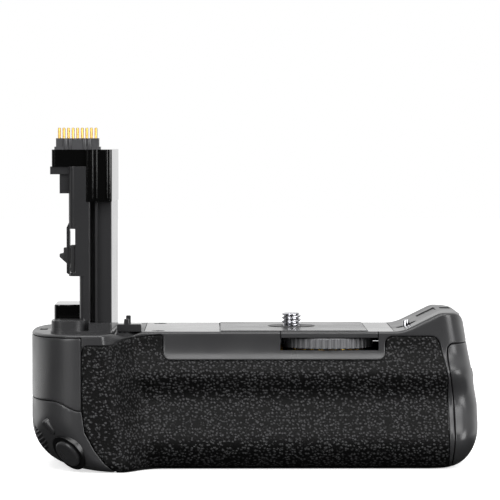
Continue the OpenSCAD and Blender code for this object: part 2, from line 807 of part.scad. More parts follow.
module mechanism_frame() {
    color("#9b9ba0") difference() {
        union() {
            block([posts[0][0] - 4, wheel_y - 5, frame_z0], [posts[1][0] + 4, posts[1][1] + 4, frame_z1]);
            for (p = posts) translate([p[0], p[1], frame_z0]) cylinder(d = post_d, h = mech_top - frame_z0);
        }
        translate([screw_x, screw_y, 0]) cylinder(d = shaft_d + 2 * turn_clear, h = 90);
        translate([wheel_x, wheel_y, 0]) cylinder(d = axle_d + 2 * slip, h = 90);
    }
}

// contact column

module column_plan(x0) {
    x = column_x1;
    y = column_y0;
    polygon(rounded([
        [x0, y, 2], [x - 6.7, y, 0.6], [x - 6.7, y + 5, 0], [x - 5.2, y + 5, 0],
        [x - 5.2, y + 1.5, 0], [x - 4.5, y + 1.5, 0], [x - 4.5, y + 3.5, 0], [x, y + 3.5, 0.5],
        [x + column_flare, column_y1, 1.5], [x0, column_y1, 1.5]]));
}

module cable_way(z0, z1) {
    block([cable_x - 0.8, cable_y - 0.5, z0], [cable_x + cable_t + 0.9, cable_y + cable_w + 0.5, z1]);
}

module column_body() {
    color("#303032") difference() {
        union() {
            translate([0, 0, deck_h]) linear_extrude(leg_h + 1) column_plan(leg_x0);
            translate([0, 0, leg_z]) linear_extrude(shoulder_z - leg_z) column_plan(column_x0);
            front_view(column_y0 + 1.5, column_y0 + 10) polygon([
                [column_x0 + 0.5, leg_z + 0.3], [column_x0 - 0.7, leg_z + 1],
                [column_x0 - 0.7, leg_z + 15.5], [column_x0 + 0.5, leg_z + 18]]);
            block([column_x0 - 5.9, column_y0 + 1.5, shoulder_z - 2.5],
                [column_x0 + 1, column_y0 + 14, shoulder_z]);
            block([column_x0 - 2.9, column_y0 + 2, shoulder_z - 8.6],
                [column_x0 + 1, column_y0 + 12, shoulder_z - 2]);
        }
        block([skirt_x, -90, skirt_z], [column_x1 + 9, 90, shoulder_z + 1]);
        block([slot_x0, -90, slot_z0], [slot_x0 + slot_w, 90, slot_z0 + slot_h]);
        block([column_x0 - 2, nub_y - slide_clear, nub_z0 - slide_clear],
            [slot_x0 + 0.5, nub_y + nub_d + slide_clear, nub_z1 + slide_travel + 0.3]);
        cable_way(deck_h - 1, shoulder_z + 1);
    }
}

module cover_slide() {
    color("#1c1c1d") {
        block([slot_x0 + slide_clear, column_y0 + 1.2, slot_z0 + slide_clear],
            [slot_x0 + slot_w - slide_clear, column_y0 + 9, slot_z0 + slot_h - slide_travel - 0.3]);
        front_view(nub_y, nub_y + nub_d) polygon([
            [slot_x0 + 0.6, nub_z1], [column_x0 - 1.7, nub_z1], [column_x0 - 1.7, nub_z1 - 1.7],
            [column_x0 - 3, nub_z1 - 2], [column_x0 - 3, nub_z1 - 3], [column_x0 - 0.8, nub_z0],
            [slot_x0 + 0.6, nub_z0]]);
    }
}

ridge_d = 0.8;
ridge_at = [2, 3.3, 6.6];
function skirt_y(x) = lerp(column_y0 - 0.6, column_y0 + 1, (x - skirt_x) / (column_x1 + 0.2 - skirt_x));

module column_head() {
    color("#121213") difference() {
        union() {
            for (x = ridge_at) translate([skirt_x + x, skirt_y(skirt_x + x), skirt_z + 1])
                cylinder(d = ridge_d, h = head_z1 - skirt_z - 1);
            translate([0, 0, shoulder_z]) linear_extrude(head_h) polygon(rounded([
                [head_x0, column_y0 + 1, 1.2], [column_x1 + 0.2, column_y0 + 1, 1],
                [column_x1 + 0.2 + column_flare, column_y1, 1.5], [head_x0, column_y1, 1.5]]));
            translate([0, 0, skirt_z]) linear_extrude(head_z1 - skirt_z) polygon(rounded([
                [skirt_x, column_y0 - 0.6, 0.8], [column_x1 + 0.2, column_y0 + 1, 1],
                [column_x1 + 0.2 + column_flare, column_y1, 1.5], [skirt_x, column_y1, 0.5]]));
        }
        cable_way(skirt_z - 1, head_z1 + 1);
        block_tongue(slip);
    }
}

block_edge = 1;
block_w = (pin_count - 1) * pin_pitch + 2 * block_edge;
block_d = 5.6;
block_flange = 0.5;
flange_t = 0.9;
block_x = head_x0 + 8.2;
block_y = column_y0 + 5;
row_gap = 2.6;
lobe_d = 1.5;
lobe_count = 6;
tongue_w = 3.4;
tongue_h = 1;
pin_room = 0.08;
pin_floor = 0.4;
pin_tip = 0.2;
pin_at = [for (r = [-0.5, 0.5]) for (i = [0:pin_count - 1])
    [block_x + (i - (pin_count - 1) / 2) * pin_pitch, block_y + r * row_gap]];

// tongue that hangs over the front of the head, grown by room
module block_tongue(room) {
    y = block_y - block_d / 2;
    block([block_x - tongue_w / 2 - room, y - lobe_d / 2 - room, head_z1 - tongue_h - room],
        [block_x + tongue_w / 2 + room, y + lobe_d / 2 + room, block_z1 - 0.4]);
}

module contact_block() {
    front = block_y - block_d / 2;
    color("#8d8d90") difference() {
        union() {
            block([block_x - block_w / 2, front, head_z1],
                [block_x + block_w / 2, front + block_d, block_z1]);
            block([block_x - block_w / 2 - block_flange, front - block_flange, head_z1],
                [block_x + block_w / 2 + block_flange, front + block_d + block_flange, head_z1 + flange_t]);
            for (i = [0:lobe_count - 1])
                translate([block_x + (i - (lobe_count - 1) / 2) * lobe_d, front, head_z1])
                    cylinder(d = lobe_d, h = block_h);
            block_tongue(0);
        }
        for (p = pin_at) translate([p[0], p[1], head_z1 + pin_floor])
            cylinder(d = pin_d + 2 * pin_room, h = 20);
    }
}

module contact_pins() {
    color("#c9a24a") for (p = pin_at) translate([p[0], p[1], 0]) {
        low = head_z1 + pin_floor + pin_travel + 0.2;
        high = block_z1 + pin_out - pin_tip;
        translate([0, 0, low]) cylinder(d = pin_d, h = high - low);
        translate([0, 0, high]) cylinder(d1 = pin_d, d2 = pin_d - 2 * pin_tip, h = pin_tip);
    }
}

module ribbon_cable() {
    color("#b58a3c") block([cable_x, cable_y, sleeve_z1 + board_t],
        [cable_x + cable_t, cable_y + cable_w, head_z1]);
}

foot_h = 8.4;
plinth_y0 = column_y0 - 6.4;
module column_plinth() {
    color("#2a2a2c") difference() {
        union() {
            translate([0, 0, deck_h]) linear_extrude(0.8) polygon(rounded([
                [head_x0 - 0.2, plinth_y0, 4], [column_x1 + 1, plinth_y0, 1.5],
                [column_x1 + 1.8, column_y1 + 1, 1.5], [head_x0 - 0.2, column_y1 + 1, 2]]));
            translate([0, 0, deck_h]) linear_extrude(4) polygon(rounded([
                [head_x0, plinth_y0 + 0.2, 3.8], [leg_x0 + 2, plinth_y0 + 0.2, 3.8],
                [leg_x0 + 2, column_y0 + 9, 1], [head_x0, column_y0 + 9, 3.8]]));
            block([leg_x0 + 3.2, plinth_y0 + 0.6, deck_h], [column_x1, column_y0, deck_h + 3.2]);
        }
        translate([0, 0, deck_h - 1]) linear_extrude(20) offset(delta = 0.1) column_plan(leg_x0);
    }
}

module column_foot() {
    color("#111112") translate([0, 0, deck_h + 0.8]) linear_extrude(foot_h - 0.8) polygon(rounded([
        [head_x0 + 0.2, column_y0 + 11, 2], [leg_x0 - 0.15, column_y0 + 11, 0],
        [leg_x0 - 0.15, column_y1 - 2, 0], [head_x0 + 0.2, column_y1 - 2, 2]]));
}

module hook_guide() {
    x = column_x1 + 1.5;
    y = -deck_front;
    color("#1d1d1e") {
        block([x, y, deck_h], [x + 8, y + 8, deck_h + 2.3]);
        block([x, y + 1, deck_h + 2], [x + 3.4, y + 6.5, deck_h + 5]);
        block([x + 5, y + 1, deck_h + 2], [x + 7.8, y + 6.5, deck_h + 4]);
    }
}

module horn_liner() {
    color("#171718") liner_cut(0.15, liner_deep, -0.4);
}

// magazine

contact_gap = 8;
contact_y = [-contact_gap, 0, contact_gap];
strip_w = 3;
strip_h = 6;
strip_up = 4;
module strip_ways(x, grow) {
    for (y = contact_y) block([x - grow, tray_y + y - strip_w / 2, bay_z0 + strip_up],
        [x + tray_wall + grow, tray_y + y + strip_w / 2, bay_z0 + strip_up + strip_h]);
}

module magazine_tray() {
    color("#39393b") difference() {
        block([tray_x0, tray_y - tray_half, tray_z0], [tray_x1, tray_y + tray_half, tray_z1]);
        for (i = [0, 1]) {
            x = tray_x0 + tray_wall + i * (bay_l + tray_wall);
            block([x, tray_y - bay_w / 2, bay_z0], [x + bay_l, tray_y + bay_w / 2, tray_z1 + 1]);
            strip_ways(x - tray_wall, 0.1);
        }
    }
}

module bay_contacts() {
    color("#c9a24a") for (i = [0, 1]) strip_ways(tray_x0 + i * (bay_l + tray_wall), 0);
}

module cap_backplate() {
    color("#2e2e30") difference() {
        intersection() {
            form();
            front_view(-90, 90) cap_outline();
            block([0, -90, -1], [cap_split, 90, 90]);
        }
        block([0, tray_y - tray_half, tray_z0], [tray_x1, tray_y + tray_half, tray_z1]);
    }
}

module about_lock(x) {
    translate([x, lock_y, lock_z]) rotate([0, 90, 0]) children();
}

module magazine_cap() {
    color("#2c2c2e") difference() {
        intersection() {
            form();
            front_view(-90, 90) cap_outline();
            block([cap_split, -90, -1], [half_w + 9, 90, 90]);
        }
        intersection() {
            about_lock(cap_split - 1) cylinder(r = lock_l + 0.6, h = lock_t + lock_room + 1);
            block([0, lock_y - lock_w / 2 - 0.6, lock_z - lock_w / 2 - 0.6], [99, 99, 99]);
        }
        about_lock(knob_floor) cylinder(d = knob_d + 1, h = 20);
        about_lock(0) cylinder(d = knob_shaft + 2 * turn_clear, h = 99);
    }
}

module release_knob() {
    color("#252527") {
        about_lock(knob_floor + 0.1) cylinder(d = knob_d, h = knob_t);
        about_lock(cap_split + lock_t) cylinder(d = knob_shaft, h = knob_floor + 0.2 - cap_split - lock_t);
        block([knob_floor + 1, lock_y - knob_d * 0.4, lock_z - 1.5],
            [half_w + heel_out - 0.2, lock_y + knob_d * 0.4, lock_z + 1.5]);
    }
}

module lock_arm() {
    color("#a5a5a8") {
        about_lock(cap_split + 0.15) cylinder(d = lock_w, h = lock_t - 0.15);
        block([cap_split + 0.15, lock_y, lock_z - lock_w / 2],
            [cap_split + lock_t, lock_y + lock_l, lock_z + lock_w / 2]);
    }
}

module magazine_sleeve() {
    color("#454547") difference() {
        block([sleeve_x0, tray_y - sleeve_half, sleeve_z0], [sleeve_x1, tray_y + sleeve_half, sleeve_z1]);
        block([sleeve_x0 + sleeve_wall, tray_y - sleeve_half + sleeve_wall, sleeve_z0 + sleeve_wall],
            [half_w, tray_y + sleeve_half - sleeve_wall, sleeve_z1 - sleeve_wall]);
    }
}

module power_terminals() {
    x = sleeve_x0 + sleeve_wall;
    z = bay_z0 + strip_up + 0.5;
    color("#c9a24a") for (y = contact_y) block([x, tray_y + y - strip_w / 2 + 0.3, z],
        [x + terminal_t, tray_y + y + strip_w / 2 - 0.3, z + strip_h - 1]);
}

board_t = 1.2;
module main_board() {
    color("#2d5a37") block([sleeve_x0 + 3, tray_y - sleeve_half + 0.2, sleeve_z1],
        [posts[0][0] - 6, tray_y + tray_half - 1.6, sleeve_z1 + board_t]);
}

// controls

module shutter_bezel() {
    color("#161617") on_land(0, 0, -bezel_t) difference() {
        cylinder(d = bezel_d, h = bezel_t + 0.3);
        translate([0, 0, -1]) cylinder(d = shutter_d + 2 * button_play, h = 20);
    }
}

module shutter_button() {
    color("#2a2a2c") on_land(0, 0, -bezel_t) {
        translate([0, 0, -shutter_foot]) cylinder(d = shutter_flange, h = shutter_foot - 0.1);
        translate([0, 0, -0.2]) cylinder(d = shutter_d, h = bezel_t + 0.9);
        translate([0, 0, bezel_t + 0.7]) cylinder(d1 = shutter_d, d2 = shutter_d - 1.2, h = 0.5);
    }
}

module shutter_switch() {
    color("#6f6f72") on_land(0, 0, -shutter_deep)
        cylinder(d = 6, h = shutter_deep - bezel_t - shutter_foot - shutter_travel - 0.3);
}

module af_area_button() {
    color("#1a1a1b") on_land(bar_back, bar_side, bar_travel + 0.1 - bar_deep)
        linear_extrude(bar_deep - bar_travel + 0.2) stadium(bar_l, bar_w);
}

module control_dial() {
    color("#1c1c1d") on_land(dial_back, dial_side, dial_up) rotate([90, 0, 0]) difference() {
        translate([0, 0, -dial_w / 2]) linear_extrude(dial_w) polygon(knurl_points(dial_d, 28, 0.5));
        cylinder(d = dial_axle_d + 2 * turn_clear, h = 20, center = true);
    }
}

module dial_axle() {
    color("#b4b4b8") on_land(dial_back, dial_side, dial_up) rotate([90, 0, 0])
        cylinder(d = dial_axle_d - 2 * slip, h = dial_w + 2 * axle_grip - 0.4, center = true);
}

module rear_button(z, proud) {
    y = deck_rear - wall;
    color("#1f1f20") translate([button_x, y, z]) rotate([-90, 0, 0]) {
        translate([0, 0, -1.05]) cylinder(d = button_flange, h = 1);
        translate([0, 0, -0.1]) cylinder(d = button_d, h = wall + proud + 0.1);
    }
}

module af_on_button() {
    rear_button(button_z[0], 1);
}

module ae_lock_button() {
    rear_button(button_z[1], 0.9);
}

module af_point_button() {
    rear_button(button_z[2], 0.9);
}

module switch_board() {
    y = tray_y + sleeve_half;
    color("#2d5a37") {
        block([button_x - 5, y, button_z[2] - 5], [button_x + 17, y + 1, sleeve_z1]);
        for (z = button_z) if (z < sleeve_z1 - 2) translate([button_x, y + 0.9, z]) rotate([-90, 0, 0])
            cylinder(d = 4, h = 0.7);
    }
}

module power_switch() {
    color("#242425") translate([switch_at[0], deck_rear, switch_at[1]]) rotate([-90, 0, 0]) {
        translate([0, 0, -wall]) cylinder(d = switch_shaft, h = wall + 0.2);
        translate([0, 0, 0.1]) cylinder(d = switch_d, h = 1.6);
        block([-1.2, -8, 0.6], [1.2, 0, 2.3]);
    }
}

main_housing();
front_grip();
left_end_panel();
control_pod();
base_cover();
base_screws();
tripod_socket();
rear_cover();
thumb_grip();
deck_plate_left();
deck_screws();
deck_pad();
deck_plate_right();
screw_collar();
locating_pin();
wheel_bridge();
lock_wheel();
wheel_gear();
wheel_axle();
camera_screw();
screw_gear();
mechanism_frame();
column_body();
cover_slide();
column_head();
contact_block();
contact_pins();
ribbon_cable();
column_plinth();
column_foot();
hook_guide();
horn_liner();
magazine_tray();
bay_contacts();
cap_backplate();
magazine_cap();
release_knob();
lock_arm();
magazine_sleeve();
power_terminals();
main_board();
shutter_bezel();
shutter_button();
shutter_switch();
af_area_button();
control_dial();
dial_axle();
af_on_button();
ae_lock_button();
af_point_button();
switch_board();
power_switch();
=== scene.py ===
import json
import math

import bmesh
import bpy
import numpy as np
from mathutils import Matrix, Vector


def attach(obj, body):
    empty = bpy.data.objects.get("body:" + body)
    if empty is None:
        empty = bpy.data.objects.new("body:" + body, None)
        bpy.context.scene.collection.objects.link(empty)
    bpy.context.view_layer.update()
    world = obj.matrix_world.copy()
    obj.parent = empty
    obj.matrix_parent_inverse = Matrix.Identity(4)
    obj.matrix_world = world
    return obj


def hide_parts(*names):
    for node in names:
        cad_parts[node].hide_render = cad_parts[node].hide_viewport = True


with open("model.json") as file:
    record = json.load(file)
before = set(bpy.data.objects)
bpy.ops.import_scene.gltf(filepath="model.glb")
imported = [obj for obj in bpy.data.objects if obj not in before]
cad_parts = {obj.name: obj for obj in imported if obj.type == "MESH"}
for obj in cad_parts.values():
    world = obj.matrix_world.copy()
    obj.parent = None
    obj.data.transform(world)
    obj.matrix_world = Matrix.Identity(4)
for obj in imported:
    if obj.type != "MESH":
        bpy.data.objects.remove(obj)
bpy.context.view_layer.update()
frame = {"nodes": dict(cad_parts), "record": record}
nodes = frame["nodes"]
scene = bpy.context.scene
bodyOf = {n: b for b, members in frame["record"]["behaviour"]["bodies"].items() for n in members}
mm = 0.001
print("frame:", len(nodes), "nodes")

# camera at the photograph's angle, worked out for a square picture
view = {"place": (-12.2, -1083.6, 108.0), "lens": 238.0, "focal": 3305.0, "right": 35.0, "down": 118.0}
cameraData = bpy.data.cameras.new("studioCamera")
cameraData.lens = view["lens"]
cameraData.sensor_width = 36.0
camera = bpy.data.objects.new("studioCamera", cameraData)
camera.location = [c * mm for c in view["place"]]
camera.rotation_euler = (math.pi / 2 - math.atan(view["down"] / view["focal"]), 0,
                         -math.atan(view["right"] / view["focal"]))
scene.collection.objects.link(camera)
scene.camera = camera


# small tools: nodes, colours, solids and cuts

def addNode(tree, kind, settings=None, links=None):
    made = tree.nodes.new(kind)
    for key, value in (settings or {}).items():
        setattr(made, key, value)
    for key, value in (links or {}).items():
        if isinstance(value, bpy.types.NodeSocket):
            tree.links.new(value, made.inputs[key])
        else:
            made.inputs[key].default_value = value
    return made


def linear(hexColour):
    parts = [int(hexColour[i:i + 2], 16) / 255 for i in (1, 3, 5)]
    return tuple(c / 12.92 if c <= 0.04045 else ((c + 0.055) / 1.055) ** 2.4 for c in parts) + (1.0,)


def solid(name, points, faces, recalc=False):
    mesh = bpy.data.meshes.new(name)
    mesh.from_pydata([tuple(float(c) * mm for c in p) for p in points], [], [list(map(int, f)) for f in faces])
    if recalc:
        work = bmesh.new()
        work.from_mesh(mesh)
        bmesh.ops.recalc_face_normals(work, faces=work.faces)
        work.to_mesh(mesh)
        work.free()
    made = bpy.data.objects.new(name, mesh)
    scene.collection.objects.link(made)
    return made


def box(lo, hi):
    points = [(x, y, z) for x in (lo[0], hi[0]) for y in (lo[1], hi[1]) for z in (lo[2], hi[2])]
    return solid("box", points, [
        (0, 1, 3, 2), (4, 6, 7, 5), (0, 4, 5, 1), (2, 3, 7, 6), (0, 2, 6, 4), (1, 5, 7, 3)], True)


def prism(outline, y0, y1):
    n = len(outline)
    points = [(x, y0, z) for x, z in outline] + [(x, y1, z) for x, z in outline]
    faces = [list(range(n)), list(range(2 * n - 1, n - 1, -1))]
    faces += [(i, n + i, n + (i + 1) % n, (i + 1) % n) for i in range(n)]
    return solid("prism", points, faces, True)


def lathe(profile, steps=64, turn=None):
    # profile goes from the axis round the section and back to the axis, as (radius, height)
    inner = [p for p in profile if p[0] > 1e-9]
    n = len(inner)
    points = [(r * math.cos(2 * math.pi * i / steps), r * math.sin(2 * math.pi * i / steps), z)
              for i in range(steps) for r, z in inner]
    faces = []
    for i in range(steps):
        a, b = i * n, (i + 1) % steps * n
        faces += [(a + k, b + k, b + k + 1, a + k + 1) for k in range(n - 1)]
        if len(inner) == len(profile):
            faces.append((a + n - 1, b + n - 1, b, a))
    if len(inner) < len(profile):
        faces += [[i * n for i in range(steps)][::-1], [i * n + n - 1 for i in range(steps)]]
    made = solid("lathe", points, faces, True)
    if turn is not None:
        made.data.transform(turn)
    return made


def bake(target):
    mesh = bpy.data.meshes.new_from_object(target.evaluated_get(bpy.context.evaluated_depsgraph_get()))
    target.modifiers.clear()
    old, target.data = target.data, mesh
    bpy.data.meshes.remove(old)
    return target


def carve(target, cutter, way="DIFFERENCE"):
    for solver in ("MANIFOLD", "EXACT"):
        cut = target.modifiers.new("cut", "BOOLEAN")
        cut.operation, cut.object, cut.solver = way, cutter, solver
        result = target.evaluated_get(bpy.context.evaluated_depsgraph_get())
        if len(result.data.polygons) > 0:
            break
        target.modifiers.clear()
    bake(target)
    bpy.data.meshes.remove(cutter.data)
    return target


def carveAll(target, cutters, way="DIFFERENCE"):
    for cutter in cutters:
        carve(target, cutter, way)
    return target


def bevel(target, width, segments=2, angle=35):
    work = bmesh.new()
    work.from_mesh(target.data)
    bmesh.ops.remove_doubles(work, verts=work.verts, dist=0.002 * mm)
    bmesh.ops.dissolve_limit(work, angle_limit=math.radians(0.8), verts=work.verts, edges=work.edges)
    work.to_mesh(target.data)
    work.free()
    edge = target.modifiers.new("edge", "BEVEL")
    edge.width, edge.segments, edge.angle_limit = width * mm, segments, math.radians(angle)
    edge.limit_method, edge.use_clamp_overlap, edge.miter_outer = "ANGLE", True, "MITER_ARC"
    return bake(target)


def finishPiece(made, name, material, nodeNames, sharp=32, flat=False):
    made.name = name
    made.data.name = name
    made.data.materials.clear()
    made.data.materials.append(material)
    made.data.shade_smooth()
    made.data.set_sharp_from_angle(angle=math.radians(sharp))
    if flat:  # large flat faces keep one normal, only the rounded edges turn
        weigh = made.modifiers.new("weigh", "WEIGHTED_NORMAL")
        weigh.keep_sharp, weigh.weight = True, 100
        bake(made)
    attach(made, bodyOf[nodeNames[0]])
    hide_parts(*nodeNames)
    return made


def softened(nodeName, name, material, width, segments=2, angle=35, sharp=32):
    made = bpy.data.objects.new(name, nodes[nodeName].data.copy())
    scene.collection.objects.link(made)
    bevel(made, width, segments, angle)
    return finishPiece(made, name, material, [nodeName], sharp, True)


# materials, each on Object coordinates in metres

def newMaterial(name, colour, rough, metal=0.0):
    material = bpy.data.materials.new(name)
    material.use_nodes = True
    tree = material.node_tree
    shader = tree.nodes["Principled BSDF"]
    shader.inputs["Base Color"].default_value = linear(colour)
    shader.inputs["Roughness"].default_value = rough
    shader.inputs["Metallic"].default_value = metal
    if not metal:
        shader.inputs["IOR"].default_value = 1.5
    place = addNode(tree, "ShaderNodeTexCoord").outputs["Object"]
    return material, tree, shader, place


def grain(name, colour, second, rough, size, depth, strength, metal=0.0, spread=0.08):
    # moulded or machined skin: size and depth of the grain in millimetres
    material, tree, shader, place = newMaterial(name, colour, rough, metal)
    fine = addNode(tree, "ShaderNodeTexNoise", None, {
        "Vector": place, "Scale": 1000 / size, "Detail": 2.0, "Roughness": 0.6})
    broad = addNode(tree, "ShaderNodeTexNoise", None, {"Vector": place, "Scale": 1000 / 18, "Detail": 3.0})
    tone = addNode(tree, "ShaderNodeMix", {"data_type": "RGBA"}, {"Factor": broad.outputs["Fac"]})
    tone.inputs["A"].default_value = linear(colour)
    tone.inputs["B"].default_value = linear(second)
    tree.links.new(tone.outputs["Result"], shader.inputs["Base Color"])
    worn = addNode(tree, "ShaderNodeMapRange", None, {
        "Value": broad.outputs["Fac"], "From Min": 0.3, "From Max": 0.7,
        "To Min": rough - spread, "To Max": rough + spread})
    tree.links.new(worn.outputs["Result"], shader.inputs["Roughness"])
    bump = addNode(tree, "ShaderNodeBump", None, {
        "Height": fine.outputs["Fac"], "Strength": strength, "Distance": depth * mm})
    tree.links.new(bump.outputs["Normal"], shader.inputs["Normal"])
    return material


# ABS moulded in a fine spark-eroded tool: satin black, real grain 0.15 mm, drawn at 0.5 mm so that it shows
satinAbs = grain("satinMouldedAbs", "#2f2f30", "#343435", 0.32, 0.5, 0.04, 0.3)
# the same ABS in a plainer tool: matte, a little darker; on the base cover the darker tone is painted shade under the
# body
matteAbs = grain("matteMouldedAbs", "#262627", "#2b2b2c", 0.42, 0.6, 0.06, 0.35)
# column ABS, smoother: dark from the front, pale at a grazing angle
columnAbs = grain("smoothColumnAbs", "#29292a", "#2d2d2e", 0.12, 0.5, 0.006, 0.3, spread=0.03)
# knurled polyamide of the wheels: dark grey, half gloss; the grey is lighter than the black polyamide, as wear and
# painted highlight on the knurl
wheelNylonWearAndPaintedHighlight = grain("knurledPolyamideWearAndPaintedHighlight", "#5c5c5e", "#68686a", 0.3, 0.4, 0.03, 0.3)
# black ABS round the shutter button; on the liner in the recesses of the horn the near black is painted shade
blackAbsAndRecessShade = grain("blackMouldedAbsAndRecessShade", "#0a0a0b", "#0d0d0e", 0.32, 0.6, 0.03, 0.3)
# deck plates from a smoother tool: at a grazing angle they mirror the white room
deckAbs = grain("smoothDeckAbs", "#242425", "#29292a", 0.16, 0.4, 0.01, 0.3, spread=0.02)
# ABS from a polished tool: mirror gloss with a faint orange peel
glossAbs = grain("glossMouldedAbs", "#050505", "#070707", 0.08, 3.0, 0.01, 0.25, spread=0.03)
# glass-filled PBT: dark grey, dry and matte
greyPbt = grain("greyGlassFilledPbt", "#3a3a3c", "#454547", 0.4, 0.4, 0.05, 0.4)
# silicone rubber pad: dull with fine grit
padRubber = grain("deckPadRubber", "#202021", "#262627", 0.24, 0.35, 0.015, 0.3, spread=0.04)
# bright nickel plate: clear reflections with light handling marks
nickel = grain("brightNickelPlate", "#d9d9dc", "#c4c4c8", 0.14, 0.8, 0.006, 0.3, metal=1.0, spread=0.05)
# turned steel: fine lathe lines
turnedSteel = grain("turnedSteel", "#b9b9bd", "#9fa0a5", 0.3, 0.25, 0.01, 0.4, metal=1.0)
# stamped brass, plain
stampedBrass = grain("stampedBrass", "#b89650", "#9f7f3f", 0.32, 0.5, 0.01, 0.4, metal=1.0)
# gold flash over nickel on contacts
goldFlash = grain("goldFlashPlate", "#dfbd74", "#c9a04e", 0.3, 0.6, 0.006, 0.3, metal=1.0, spread=0.06)
# glass-epoxy board under green solder mask, weave about 0.5 mm
boardLaminate = grain("glassEpoxyBoard", "#1f4a2b", "#2a5c38", 0.35, 0.5, 0.02, 0.4)
# amber polyimide film with a light gloss
polyimide = grain("polyimideFilm", "#9a6a26", "#b27c30", 0.25, 1.2, 0.01, 0.3)


def pebbledRubber(name):
    # thermoplastic rubber moulded with a leather grain: pebbles about 1 mm across catch short bright dashes; their
    # tops are painted lighter as a painted highlight and the hollows painted near black as painted shade
    # painted light: "colour" is the painted highlight on the pebble tops, "hollow" the painted shade between them
    pebble = {"size": 1.0, "deep": 0.42, "wander": 0.45, "colour": "#3c3c3d", "hollow": "#020202"}
    material, tree, shader, place = newMaterial(name, pebble["colour"], 0.42)
    shader.inputs["Specular IOR Level"].default_value = 0.2
    drift = addNode(tree, "ShaderNodeTexNoise", None, {"Vector": place, "Scale": 1000 / 2.2, "Detail": 1.0})
    centred = addNode(tree, "ShaderNodeVectorMath", {"operation": "SUBTRACT"}, {0: drift.outputs["Color"]})
    centred.inputs[1].default_value = (0.5, 0.5, 0.5)
    shifted = addNode(tree, "ShaderNodeVectorMath", {"operation": "SCALE"}, {
        0: centred.outputs[0], "Scale": pebble["wander"] * 2 * mm})
    bent = addNode(tree, "ShaderNodeVectorMath", {"operation": "ADD"}, {0: place, 1: shifted.outputs[0]})
    cells = addNode(tree, "ShaderNodeTexVoronoi", {"feature": "F1"}, {
        "Vector": bent.outputs[0], "Scale": 1000 / pebble["size"], "Randomness": 0.85})
    mound = addNode(tree, "ShaderNodeMapRange", {"interpolation_type": "SMOOTHSTEP"}, {
        "Value": cells.outputs["Distance"], "From Min": 0.12, "From Max": 0.6, "To Min": 1.0, "To Max": 0.0})
    bump = addNode(tree, "ShaderNodeBump", None, {
        "Height": mound.outputs["Result"], "Strength": 0.8, "Distance": pebble["deep"] * mm})
    tree.links.new(bump.outputs["Normal"], shader.inputs["Normal"])
    # base colour runs from painted shade in the hollows to painted highlight on the pebble tops
    tone = addNode(tree, "ShaderNodeMix", {"data_type": "RGBA"}, {"Factor": mound.outputs["Result"]})
    tone.inputs["A"].default_value = linear(pebble["hollow"])
    tone.inputs["B"].default_value = linear(pebble["colour"])
    tree.links.new(tone.outputs["Result"], shader.inputs["Base Color"])
    rough = addNode(tree, "ShaderNodeMapRange", None, {
        "Value": mound.outputs["Result"], "To Min": 0.7, "To Max": 0.35})
    tree.links.new(rough.outputs["Result"], shader.inputs["Roughness"])
    return material


gripRubber = pebbledRubber("pebbledRubber")
print("materials:", len(bpy.data.materials))

# sculpted form of the whole body, in millimetres, as in the part's source
body = {
    "half": 71.5, "deck": 44.0, "front": 26.0, "rear": 27.0, "nose": 17.0, "horn": 6.0, "wall": 2.8, "skin": 1.4,
    "seam": 0.3, "base": 2.6, "ledge": 4.6, "handle": 9.2, "toeW": 22.0, "toeH": 17.0, "endRound": 17.0,
    "heelRound": 9.0, "baseRound": 4.0, "heelW": 9.3, "heelH": 14.0, "heelOut": 1.6, "lean": 0.17, "leanH": 20.0,
    "ledgeDrop": 13.0, "ledgeLow": 6.0, "ledgeHigh": 4.4, "handleZ": 9.5,
    "valleyW": 25.0, "thumbX": -20.0, "thumb": 3.5, "landRound": 3.0}
half, deck = body["half"], body["deck"]
landN = np.array([-0.61, -0.57, -0.55])
landN /= np.linalg.norm(landN)
landP = np.array([12.9 - half, 4.8 - body["front"] - body["nose"], 6.3])
landBack = np.array([0.0, 1.0, 0.0]) - landN * landN[1]
landBack /= np.linalg.norm(landBack)
landSide = np.cross(landN, landBack)


def smooth(t):
    c = np.clip(t, 0, 1)
    return c * c * (3 - 2 * c)


def hump(d):
    return np.exp(-d * d)


def lerp(a, b, t):
    return a + (b - a) * t


def quarter(t, n):
    return (1 - (1 - np.clip(t, 0, 1)) ** n) ** (1 / n)


def frontAt(x, z):
    valley = 34 - half + 0.14 * (deck - z)
    # above its crest the ledge is drawn steeper than in the part, so that the panel stays upright
    ledge = z - deck + body["ledgeDrop"]
    swell = (body["ledge"] * hump(ledge / np.where(ledge > 0, body["ledgeHigh"], body["ledgeLow"]))
             + body["handle"] * hump((z - body["handleZ"]) / body["handleZ"]))
    return -body["front"] - lerp(swell, body["nose"], smooth((valley - x) / 11))


def rearAt(x, z):
    return body["rear"] + body["thumb"] * hump((x - body["thumbX"]) / 9) * (
        smooth((z - 1) / 12) * smooth((deck - 2 - z) / 12))


